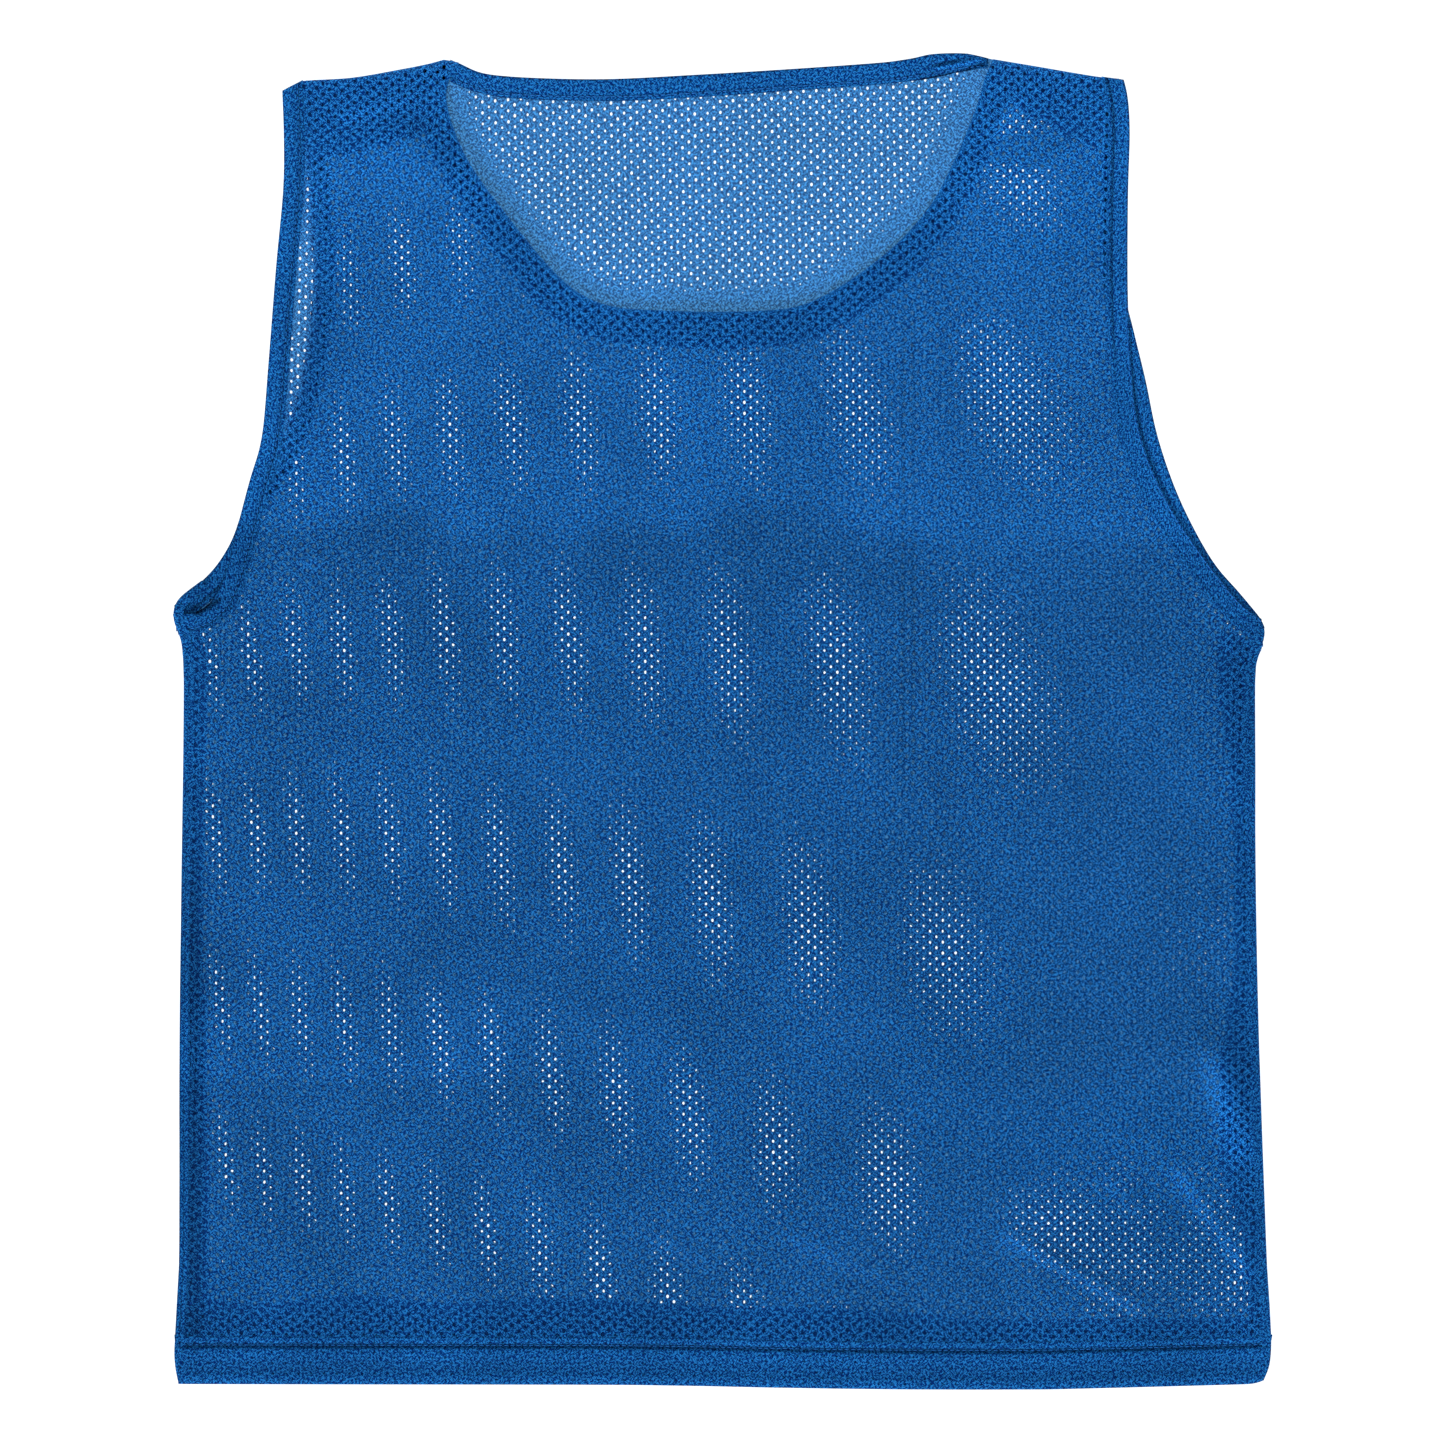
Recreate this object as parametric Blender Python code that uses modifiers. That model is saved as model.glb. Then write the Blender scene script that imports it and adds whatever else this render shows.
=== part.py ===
"""A mesh training bib, laid flat on its back.

The bib is a tube of cloth pressed flat: the back panel lies on the table and the front panel lies
on it. A doubled strip binds the neck and each armhole, and the lower edges are turned up as hems.
Every piece is a thin wall whose outline runs along a few smooth paths: edges that show, and seam
lines worked out from them. Where two pieces are sewn together, a seam gap is left between them.

Tables and sizes are in millimetres. X runs across the bib, Y from the hem to the shoulders, Z up
from the table, and the origin is on the table, at the middle of the bib.
"""

import math

import bmesh
import bpy
from mathutils import Vector
from mathutils.geometry import delaunay_2d_cdt, intersect_line_line_2d

MM = 0.001

# Walls and gaps
MESH_WALL = 1.0
BINDING_WALL = 1.2
HEM_WALL = 1.4
SEAM_GAP = 0.3
LAYER_GAP = 0.3

# Widths of the doubled strips and of the turned-up hem
ARM_BINDING = 9.0
NECK_BINDING = 11.0
NECK_BINDING_SETBACK = 0.6
HEM_DEPTH = 21.5

# The top layer's underside: over the hems and bindings below it, and over the neck binding
FRONT_LIFT = HEM_WALL + LAYER_GAP
NECK_LIFT = MESH_WALL + BINDING_WALL + 2 * LAYER_GAP
NECK_LIFT_SHOULDER = 10.0
NECK_LIFT_FADE = 26.0
SIDE_DROP = 0.4
SIDE_DROP_REACH = 9.0
MOUTH_LIFT = 1.6
MOUTH_REACH = 11.0

# How far apart points stand: along a panel's edge, along a tight edge, and inside a piece
EDGE_STEP = 16.0
TIGHT_STEP = 5.0
FRONT_SPACING = 17.0
BACK_SPACING = 46.0
BAND_SPACING = 14.0
CLEAR_OF_EDGE = 0.38
PATH_REACH = 6.0
SEAM_REACH = 16.0

# Points of a path nearer than this to a corner, in segments, are left out
CLEAR_OF_CORNER = 0.2

# The sides below the arms: height, left edge, right edge
SIDES = (
    (-331.2, -271.7, 266.2),
    (-329.4, -272.5, 270.8),
    (-326.0, -272.9, 273.2),
    (-320.0, -273.2, 274.3),
    (-308.0, -273.5, 274.6),
    (-292.0, -272.5, 273.7),
    (-272.0, -271.4, 272.4),
    (-240.0, -271.2, 271.2),
    (-164.0, -271.0, 268.5),
    (-90.0, -270.3, 266.9),
    (-20.0, -269.3, 266.4),
    (20.0, -269.0, 266.3),
    (30.0, -269.3, 267.0),
    (36.0, -269.7, 269.6),
    (42.0, -270.6, 271.2),
    (47.0, -273.2, 271.3),
    (52.0, -274.5, 269.4),
    (57.0, -274.0, 266.0),
)

# The lower edge, hanging a little lower right of the middle: across, height
LOWER_EDGE = (
    (-271.7, -331.2),
    (-186.0, -331.4),
    (-43.0, -331.7),
    (20.0, -332.9),
    (90.0, -333.9),
    (164.0, -333.9),
    (204.0, -332.9),
    (266.2, -331.2),
)

# The upper edge, from one shoulder's corner over both shoulders and the back of the neck to the other's
UPPER_EDGE = (
    (-219.8, 315.2),
    (-211.8, 319.7),
    (-185.0, 321.6),
    (-160.0, 325.8),
    (-146.0, 328.6),
    (-139.0, 330.5),
    (-131.5, 329.1),
    (-122.0, 324.4),
    (-103.0, 322.0),
    (-60.0, 320.9),
    (-13.5, 323.1),
    (39.0, 326.3),
    (84.0, 329.6),
    (97.0, 331.6),
    (103.0, 333.4),
    (122.5, 333.9),
    (135.5, 330.8),
    (156.5, 327.3),
    (190.0, 321.8),
    (194.0, 322.6),
    (200.8, 320.7),
)

# Where the upper edge is parted into left shoulder, neck and right shoulder
NECK_START, NECK_END = -124.0, 124.0

# Armhole edges from the underarm to the shoulder: across, height
FRONT_LEFT_ARMHOLE = (
    (-274.3, 53.6),
    (-263.5, 54.4),
    (-254.5, 60.5),
    (-248.0, 74.0),
    (-243.5, 92.0),
    (-236.0, 120.6),
    (-230.0, 142.0),
    (-226.6, 180.0),
    (-222.8, 228.0),
    (-219.3, 266.0),
    (-219.0, 293.0),
    (-219.8, 315.2),
)
BACK_LEFT_ARMHOLE = (
    (-274.3, 57.6),
    (-266.5, 64.6),
    (-254.5, 75.6),
    (-245.0, 90.6),
    (-238.0, 110.0),
    (-226.0, 129.0),
    (-214.5, 155.6),
    (-207.5, 188.0),
    (-204.5, 222.0),
    (-206.0, 258.0),
    (-210.0, 292.0),
    (-217.0, 316.0),
)
FRONT_RIGHT_ARMHOLE = (
    (270.2, 50.8),
    (258.0, 60.6),
    (239.0, 85.0),
    (225.9, 104.6),
    (214.5, 128.0),
    (207.5, 152.0),
    (204.3, 184.0),
    (202.8, 215.0),
    (202.9, 262.0),
    (203.8, 294.0),
    (202.8, 312.0),
    (200.8, 320.7),
)
BACK_RIGHT_ARMHOLE = (
    (270.6, 50.0),
    (258.6, 64.4),
    (244.8, 80.8),
    (229.0, 110.6),
    (218.0, 141.6),
    (211.8, 170.6),
    (205.5, 196.6),
    (201.0, 218.0),
    (199.6, 262.0),
    (200.6, 300.0),
    (198.6, 321.0),
)

# The scooped front neckline, left to right: across, height
FRONT_NECKLINE = (
    (-131.5, 329.0),
    (-137.0, 319.0),
    (-137.0, 306.0),
    (-127.5, 281.0),
    (-106.5, 251.6),
    (-81.0, 221.6),
    (-60.0, 208.6),
    (-30.0, 205.2),
    (19.0, 205.1),
    (46.0, 210.2),
    (78.0, 230.6),
    (101.5, 254.1),
    (116.0, 280.1),
    (127.5, 308.0),
    (131.0, 320.6),
    (135.5, 330.8),
)

# The lower edge of the band that shows behind the neck: across, height
BACK_NECK_SEAM = (
    (-134.0, 319.0),
    (-113.5, 312.3),
    (-60.0, 310.1),
    (-11.0, 312.1),
    (39.0, 315.6),
    (84.0, 318.9),
    (107.5, 322.1),
    (118.0, 324.6),
    (131.0, 326.6),
)

# Where that band ends under the front's shoulders, and how far its ends are drawn
NECK_BAND_ENDS = (-132.6, 129.6)
NECK_BAND_CAP_HEIGHTS = (312.0, 340.0)

# Folds of the front panel: start across and height, end across and height, width, rise
FOLDS = (
    (104.0, 262.0, 104.0, -306.0, 12.0, 0.9),
    (-266.0, -169.4, -140.0, -168.0, 13.0, 1.1),
    (226.0, -142.0, 261.0, -200.0, 16.0, 2.2),
    (203.0, -192.0, 243.0, -243.0, 17.0, 2.0),
    (136.0, -257.0, 208.0, -306.0, 15.0, 2.1),
    (-176.0, 300.0, -108.0, 258.0, 18.0, 1.8),
    (-208.0, 272.0, -146.0, 300.0, 16.0, 1.3),
    (258.5, 34.0, 260.0, -44.0, 9.0, 1.2),
    (206.0, 118.0, 216.0, 46.0, 34.0, 1.6),
    (-252.0, -110.0, -258.0, -214.0, 18.0, 1.4),
    (-242.0, -232.0, -206.0, -296.0, 22.0, 1.6),
    (-60.0, 150.0, -40.0, -120.0, 110.0, 1.4),
    (150.0, 40.0, 170.0, -190.0, 80.0, 1.3),
)
FOLD_POINT_STEP = 15.0
BROAD_FOLD = 30.0

# The pleats where the neck binding is caught at the right shoulder: across, width, rise
NECK_PLEATS = (
    (103.5, 6.0, 0.9),
    (114.0, 7.0, 1.2),
    (124.0, 6.0, 0.8),
)
NECK_PLEAT_MIDDLE = 327.5

# Cloth colours as linear RGB: mesh, doubled strips
MESH_BLUE = (0.008, 0.130, 0.380)
BINDING_BLUE = (0.005, 0.090, 0.290)
CLOTH_ROUGHNESS = 0.6


def smooth(points, step, reach=PATH_REACH):
    """A path through the points, bent smoothly, and run straight on by reach at both ends."""
    knots = [Vector(p) for p in points]
    first, last = knots[0], knots[-1]
    before = first + (first - knots[1]).normalized() * reach
    after = last + (last - knots[-2]).normalized() * reach
    knots = [before, *knots, after]
    path = [before]
    for a, b, c, d in zip(knots, knots[1:], knots[2:], knots[3:]):
        count = max(1, round((c - b).length / step))
        for i in range(count):
            t = i / count
            path.append(
                0.5
                * (
                    2 * b
                    + (c - a) * t
                    + (2 * a - 5 * b + 4 * c - d) * t**2
                    + (3 * b - a - 3 * c + d) * t**3
                )
            )
    return [*path, last, after]


def beside(path, distance):
    """The path moved sideways: to the left of the way it runs, or to its right if negative."""
    moved = []
    for i, point in enumerate(path):
        along = path[min(i + 1, len(path) - 1)] - path[max(i - 1, 0)]
        moved.append(point + Vector((-along.y, along.x)).normalized() * distance)
    return moved


def crossing(path, other):
    """The place along path, in segments, where it first crosses the other path, and the point."""
    for i, (a, b) in enumerate(zip(path, path[1:])):
        for c, d in zip(other, other[1:]):
            point = intersect_line_line_2d(a, b, c, d)
            if point is not None:
                share = (point - a).length / (b - a).length
                return i + share, point
    raise ValueError(f"two paths don't cross near {tuple(path[0])} and {tuple(other[0])}")


def outline_of(ring):
    """The closed outline that follows each path of the ring from one crossing to the next."""
    outline = []
    for i, path in enumerate(ring):
        start, corner = crossing(path, ring[i - 1])
        end, _ = crossing(path, ring[(i + 1) % len(ring)])
        low, high = sorted((start, end))
        between = [
            p for k, p in enumerate(path) if low + CLEAR_OF_CORNER < k < high - CLEAR_OF_CORNER
        ]
        outline.append(corner)
        outline.extend(between if start < end else reversed(between))
    return outline


def distance_to(path, point):
    """How far the point lies from the nearest segment of the path."""
    nearest = math.inf
    for a, b in zip(path, path[1:]):
        run = b - a
        share = max(0.0, min(1.0, (point - a).dot(run) / run.length_squared))
        nearest = min(nearest, (point - a - run * share).length_squared)
    return math.sqrt(nearest)


def is_inside(outline, point):
    inside = False
    for a, b in zip(outline, [*outline[1:], outline[0]]):
        if (a.y > point.y) != (b.y > point.y):
            if point.x < a.x + (b.x - a.x) * (point.y - a.y) / (b.y - a.y):
                inside = not inside
    return inside


def ease(value):
    """A smooth step from 0 to 1."""
    value = max(0.0, min(1.0, value))
    return value * value * (3 - 2 * value)


def fold_rise(fold, point):
    """How high one fold lifts the cloth at the point: round across, fading at both ends."""
    start, end = Vector(fold[0:2]), Vector(fold[2:4])
    width, rise = fold[4:6]
    run = end - start
    length = run.length
    along = (point - start).dot(run) / length
    across = abs((point - start).cross(run)) / length
    if across >= width or not 0 < along < length:
        return 0.0
    ends = ease(along / (1.5 * width)) * ease((length - along) / (1.5 * width))
    return rise * ends * 0.5 * (1 + math.cos(math.pi * across / width))


def fold_points(fold):
    """Points along a narrow fold's crest and along both its feet, so that its shape is kept."""
    start, end = Vector(fold[0:2]), Vector(fold[2:4])
    if fold[4] > BROAD_FOLD:
        return []
    run = end - start
    aside = Vector((-run.y, run.x)).normalized() * fold[4]
    count = max(2, round(run.length / FOLD_POINT_STEP))
    return [
        start + run * (i / count) + aside * side
        for i in range(count + 1)
        for side in (-1.0, -0.5, 0.0, 0.5, 1.0)
    ]


def inner_points(outline, spacing, extra):
    """Staggered points inside the outline, and the extra ones, none close to another or the edge."""
    closed = [*outline, outline[0]]
    xs = [p.x for p in outline]
    ys = [p.y for p in outline]
    row_step = spacing * math.sqrt(3) / 2
    points = []
    for point in extra:
        if is_inside(outline, point) and distance_to(closed, point) > FOLD_POINT_STEP / 4:
            if all((point - q).length > FOLD_POINT_STEP / 5 for q in points):
                points.append(point)
    held = list(points)
    for row in range(int((max(ys) - min(ys)) / row_step) + 1):
        for column in range(int((max(xs) - min(xs)) / spacing) + 2):
            x = min(xs) + (column + 0.5 * (row % 2)) * spacing
            point = Vector((x, min(ys) + (row + 0.5) * row_step))
            if not is_inside(outline, point):
                continue
            if distance_to(closed, point) < CLEAR_OF_EDGE * spacing:
                continue
            if all((point - q).length > CLEAR_OF_EDGE * spacing for q in held):
                points.append(point)
    return points


def cloth_material(name, colour):
    material = bpy.data.materials.new(name)
    material.use_nodes = True
    shader = material.node_tree.nodes["Principled BSDF"]
    shader.inputs["Base Color"].default_value = (*colour, 1)
    shader.inputs["Roughness"].default_value = CLOTH_ROUGHNESS
    shader.inputs["Metallic"].default_value = 0.0
    return material


def cloth_piece(name, ring, wall, underside, spacing, colour, extra=()):
    """One cut piece: a sheet inside the ring of paths, at the underside's height, given its wall."""
    outline = outline_of(ring)
    points = [*outline, *inner_points(outline, spacing, extra)]
    flat, _, triangles, *_ = delaunay_2d_cdt(
        points, [], [list(range(len(outline)))], 1, 1e-4
    )
    bm = bmesh.new()
    corners = [bm.verts.new(Vector((p.x, p.y, underside(p))) * MM) for p in flat]
    for triangle in triangles:
        bm.faces.new([corners[i] for i in triangle])
    loose = [v for v in bm.verts if not v.link_faces]
    bmesh.ops.delete(bm, geom=loose, context="VERTS")
    mesh = bpy.data.meshes.new(name)
    bm.to_mesh(mesh)
    bm.free()
    mesh.shade_smooth()
    mesh.materials.append(cloth_material(name, colour))
    piece = bpy.data.objects.new(name, mesh)
    thicken = piece.modifiers.new("Wall", "SOLIDIFY")
    thicken.thickness = wall * MM
    thicken.offset = 1.0
    bib.objects.link(piece)
    return piece


for old in list(bpy.data.objects):
    bpy.data.objects.remove(old)
bib = bpy.data.collections.new("Mesh training bib")
bpy.context.scene.collection.children.link(bib)

# Edges that show
side_left = smooth([(left, height) for height, left, right in SIDES], EDGE_STEP)
side_right = smooth([(right, height) for height, left, right in SIDES], EDGE_STEP)
lower_edge = smooth(LOWER_EDGE, 2 * EDGE_STEP)
left_shoulder = smooth([p for p in UPPER_EDGE if p[0] < NECK_START], TIGHT_STEP)
right_shoulder = smooth([p for p in UPPER_EDGE if p[0] > NECK_END], TIGHT_STEP)
upper_edge = smooth(UPPER_EDGE, 2 * TIGHT_STEP)
neckline = smooth(FRONT_NECKLINE, TIGHT_STEP)
front_left_arm = smooth(FRONT_LEFT_ARMHOLE, TIGHT_STEP, SEAM_REACH)
back_left_arm = smooth(BACK_LEFT_ARMHOLE, TIGHT_STEP, SEAM_REACH)
front_right_arm = smooth(FRONT_RIGHT_ARMHOLE, TIGHT_STEP, SEAM_REACH)
back_right_arm = smooth(BACK_RIGHT_ARMHOLE, TIGHT_STEP, SEAM_REACH)

# Seam lines. The armholes run upwards, so cloth lies to the right of a left armhole's path.
HALF_GAP = SEAM_GAP / 2
hem_seam = [
    p + Vector((0, HEM_DEPTH)) for p in smooth(LOWER_EDGE, 2 * EDGE_STEP, SEAM_REACH)
]
above_hem = [p + Vector((0, HALF_GAP)) for p in hem_seam]
below_hem = [p - Vector((0, HALF_GAP)) for p in hem_seam]
neck_seam = smooth(BACK_NECK_SEAM, 2 * TIGHT_STEP, SEAM_REACH)
turned_edge = beside(neckline, -NECK_BINDING_SETBACK)
turned_seam = beside(neckline, -NECK_BINDING)
below_neck_band = beside(neck_seam, -SEAM_GAP)
left_cap, right_cap = (
    [Vector((across, height)) for height in NECK_BAND_CAP_HEIGHTS] for across in NECK_BAND_ENDS
)


def front_underside(point):
    """The front's height: over the layer below, raised along the neck, open at the underarm."""
    to_neck = distance_to(neckline, point)
    over_binding = 1 - ease((to_neck - NECK_LIFT_SHOULDER - NECK_BINDING) / NECK_LIFT_FADE)
    height = FRONT_LIFT + (NECK_LIFT - FRONT_LIFT) * over_binding
    to_side = min(distance_to(side_left, point), distance_to(side_right, point))
    if point.y < FRONT_LEFT_ARMHOLE[0][1] - 2 * ARM_BINDING and point.y > above_hem[0].y:
        height -= SIDE_DROP * (1 - ease(to_side / SIDE_DROP_REACH))
    mouth = (point - Vector(FRONT_LEFT_ARMHOLE[1])).length
    height += MOUTH_LIFT * (1 - ease(mouth / MOUTH_REACH))
    return height + sum(fold_rise(fold, point) for fold in FOLDS)


def on_table(point):
    return 0.0


def on_back_panel(point):
    return MESH_WALL + LAYER_GAP


def pleated_band(point):
    """The neck binding's height: on the back panel, with the pleat at its right end."""
    rise = sum(
        height * 0.5 * (1 + math.cos(math.pi * min(1.0, abs(point.x - across) / width)))
        for across, width, height in NECK_PLEATS
    )
    return on_back_panel(point) + rise


def panel(name, left_arm, right_arm, top, underside, spacing, extra=()):
    """A front or back panel, inside its armhole bindings and above its hem."""
    inside = ARM_BINDING + SEAM_GAP
    ring = [
        side_left,
        beside(left_arm, -inside),
        *top,
        beside(right_arm, inside),
        side_right,
        above_hem,
    ]
    return cloth_piece(name, ring, MESH_WALL, underside, spacing, MESH_BLUE, extra)


def armhole_binding(name, edge, side, shoulder, width, underside):
    """One stretch of an armhole's doubled strip, from the underarm to the shoulder."""
    ring = [side, edge, shoulder, beside(edge, width)]
    extra = edge_middle(edge, width)
    return cloth_piece(name, ring, BINDING_WALL, underside, BAND_SPACING, BINDING_BLUE, extra)


def edge_middle(edge, width):
    """Points along the middle of a strip, so that it bends across as well."""
    return beside(edge, width / 2)[:: int(BAND_SPACING / TIGHT_STEP)]


def hem(name, underside):
    ring = [side_left, below_hem, side_right, lower_edge]
    return cloth_piece(name, ring, HEM_WALL, underside, BAND_SPACING, BINDING_BLUE)


panel("back_panel", back_left_arm, back_right_arm, [upper_edge], on_table, BACK_SPACING)
hem("back_hem", on_table)
armhole_binding(
    "armhole_binding_left_back", back_left_arm, side_left, upper_edge, -ARM_BINDING, on_table
)
armhole_binding(
    "armhole_binding_right_back", back_right_arm, side_right, upper_edge, ARM_BINDING, on_table
)
cloth_piece(
    "neck_binding_back",
    [left_cap, upper_edge, right_cap, neck_seam],
    BINDING_WALL,
    pleated_band,
    BAND_SPACING,
    BINDING_BLUE,
    [
        Vector((across + side * width / 2, NECK_PLEAT_MIDDLE))
        for across, width, _ in NECK_PLEATS
        for side in (-1, 0, 1)
    ],
)
left_end = below_neck_band[: len(below_neck_band) // 2]
right_end = below_neck_band[len(below_neck_band) // 2 :]
cloth_piece(
    "neck_binding_front",
    [turned_edge, right_end, turned_seam, left_end],
    BINDING_WALL,
    on_back_panel,
    BAND_SPACING,
    BINDING_BLUE,
    edge_middle(neckline, -NECK_BINDING),
)
panel(
    "front_panel",
    front_left_arm,
    front_right_arm,
    [left_shoulder, neckline, right_shoulder],
    front_underside,
    FRONT_SPACING,
    [point for fold in FOLDS for point in fold_points(fold)],
)
hem("front_hem", front_underside)
armhole_binding(
    "armhole_binding_left_front",
    front_left_arm,
    side_left,
    left_shoulder,
    -ARM_BINDING,
    front_underside,
)
armhole_binding(
    "armhole_binding_right_front",
    front_right_arm,
    side_right,
    right_shoulder,
    ARM_BINDING,
    front_underside,
)
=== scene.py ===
"""The looks of a mesh training bib that lies flat on its back, laid out as a Blender add-on.

Two knitted nets lie on each other, front over back. Their courses run askew to each other, so the
holes of both meet in clusters where the white table shows through. Doubled strips bind the neck and
the armholes, and the lower edges are turned up as hems.

Tables and sizes are in millimetres: X to the right, Y from the hem to the shoulders, Z up from the
table. Each piece takes its outline and its height from the CAD piece that it stands for.
"""

import math

import bmesh
import bpy
import numpy as np
from bpy.props import FloatProperty, FloatVectorProperty, PointerProperty
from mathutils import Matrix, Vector
from mathutils.bvhtree import BVHTree


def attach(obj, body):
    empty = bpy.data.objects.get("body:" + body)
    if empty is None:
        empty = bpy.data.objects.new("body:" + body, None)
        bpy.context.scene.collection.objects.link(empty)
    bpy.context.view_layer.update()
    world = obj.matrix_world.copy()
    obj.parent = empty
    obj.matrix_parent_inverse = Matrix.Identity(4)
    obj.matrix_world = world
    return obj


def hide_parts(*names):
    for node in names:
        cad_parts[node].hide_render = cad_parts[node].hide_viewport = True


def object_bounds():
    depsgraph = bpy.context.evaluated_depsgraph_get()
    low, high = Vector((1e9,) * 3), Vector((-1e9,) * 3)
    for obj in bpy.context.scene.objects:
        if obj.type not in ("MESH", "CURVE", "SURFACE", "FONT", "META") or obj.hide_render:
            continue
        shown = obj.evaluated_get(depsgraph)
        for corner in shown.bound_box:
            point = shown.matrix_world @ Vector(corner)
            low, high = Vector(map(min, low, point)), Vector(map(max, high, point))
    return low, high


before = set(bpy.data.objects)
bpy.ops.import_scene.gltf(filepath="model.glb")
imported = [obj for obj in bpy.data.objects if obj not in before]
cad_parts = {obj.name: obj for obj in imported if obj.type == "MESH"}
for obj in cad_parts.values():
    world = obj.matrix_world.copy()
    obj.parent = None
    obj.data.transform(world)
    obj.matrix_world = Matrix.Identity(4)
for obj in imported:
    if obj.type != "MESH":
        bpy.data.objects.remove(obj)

bl_info = {
    "name": "Mesh Training Bib",
    "version": (1, 0, 0),
    "blender": (4, 5, 0),
    "location": "3D View > Sidebar > Bib",
    "description": "Builds a laid-out sports bib of eyelet mesh, with bound edges and turned hems",
    "category": "Add Mesh",
}

MM = 0.001
CAD_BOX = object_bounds()

# The point of the bib that the camera stands over
CAMERA_X = 0.25
CAMERA_Y = -0.6

# How far the neck strip runs on under the front at each end
NECK_RUN_ON = 3.5

# Widths of the strips, as the CAD pieces have them
ARM_BINDING = 9.0
NECK_BINDING = 11.0
HEM_DEPTH = 21.5

# Points on the outside of each strip, which tell its outer edge from its inner one: across, height
LEFT_OUTSIDE = (-500.0, 200.0)
RIGHT_OUTSIDE = (500.0, 200.0)
BELOW = (0.0, -600.0)
ABOVE = (0.0, 600.0)
NECK_OPENING = (0.0, 290.0)

# Corners of the front panel's outline, and a point of each edge between them: across, height
SHOULDER_LEFT = (-210.7, 319.8)
SHOULDER_LEFT_MIDDLE = (-170.0, 326.0)
NECK_LEFT = (-131.5, 329.1)
NECK_MIDDLE = (0.0, 205.0)
NECK_RIGHT = (135.5, 330.8)
SHOULDER_RIGHT_MIDDLE = (165.0, 326.0)
SHOULDER_RIGHT = (191.0, 322.0)
UNDERARM_LEFT = (-271.8, 44.3)
SIDE_LEFT_MIDDLE = (-270.0, -100.0)
HEM_LEFT = (-273.5, -309.5)
HEM_MIDDLE = (0.0, -309.4)
UNDERARM_RIGHT = (270.3, 38.8)
SIDE_RIGHT_MIDDLE = (267.0, -100.0)
HEM_RIGHT = (274.6, -309.3)

# Ends of the side seams across the hems, from the top of each hem down: across, height
HEM_END_LEFT = ((-273.9, -316.0), (-273.2, -324.0), (-271.7, -330.6))
HEM_END_RIGHT = ((274.4, -316.0), (273.6, -323.0), (270.9, -328.9))

# Tips of the underarms, where the armhole's binding runs round from the front to the back: across,
# height
TIP_LEFT = (
    (-260.1, 70.4),
    (-268.8, 63.9),
    (-272.3, 60.8),
    (-274.2, 56.9),
    (-274.4, 53.4),
    (-273.8, 48.2),
    (-272.3, 46.2),
    (-270.1, 41.2),
    (-269.6, 33.0),
)
TIP_RIGHT = (
    (262.5, 56.5),
    (267.3, 51.4),
    (269.9, 50.1),
    (271.6, 46.2),
    (271.2, 41.9),
    (269.9, 37.5),
    (267.7, 33.2),
    (266.6, 26.0),
)

# How far the cloth's middle lies under the top of its CAD wall
FRONT_SINK = 0.35
BACK_SINK = 0.3
NECK_SINK = 0.1

# The grid of heights: its spacing, how far it goes beyond the outline, how often it is smoothed
HEIGHT_STEP = 3.0
HEIGHT_MARGIN = 14.0
HEIGHT_BLUR = 2

# The nets' half width and half height, over which the shift of one net against the other is given
NET_REACH_X = 250.0
NET_REACH_Y = 300.0

# Creases of the front: start across and height, end across and height, half width, rise, and the
# painted light on top: a painted highlight on a ridge, painted shade in a groove
FRONT_CREASES = (
    (136.0, -254.4, 213.6, -296.0, 6.5, 1.0, 0.45),
    (223.5, -219.0, 267.5, -281.0, 7.0, 1.0, 0.4),
    (240.0, -155.0, 263.5, -227.5, 13.0, 1.3, 0.55),
    (186.0, -222.0, 212.0, -248.0, 5.5, 0.7, 0.15),
    (26.0, -253.0, 93.0, -284.0, 6.5, 0.6, 0.15),
    (-41.0, -253.0, 0.0, -274.0, 6.5, 0.5, 0.1),
    (-214.0, 80.0, -196.0, 80.0, 4.5, 0.8, 0.3),
    (-275.0, 61.5, -260.0, 54.0, 2.2, -0.9, -0.9),
    (-264.5, 53.0, -249.0, 62.0, 2.2, -0.9, -0.9),
    (-229.0, 31.0, -214.0, 38.0, 4.5, 0.8, 0.2),
    (250.0, 46.0, 258.0, 31.0, 4.5, 0.7, 0.2),
    (-160.0, 292.0, -142.0, 304.0, 7.0, -0.5, -0.25),
    (-195.0, 300.0, -152.0, 313.0, 6.0, 0.5, 0.25),
    (137.0, 291.0, 152.0, 316.0, 6.0, 0.5, 0.2),
    (160.0, 283.0, 187.0, 303.0, 7.0, -0.5, -0.15),
)

# Creases of the neck binding where its right end is twisted: as above
NECK_CREASES = (
    (98.0, 320.5, 119.0, 324.5, 1.8, -1.4, -0.6),
    (114.0, 322.5, 137.0, 331.5, 1.8, -1.4, -0.6),
    (106.0, 326.0, 133.0, 331.5, 2.0, 1.3, 0.3),
    (104.0, 327.6, 120.0, 330.4, 1.3, -1.0, -0.5),
)
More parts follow.
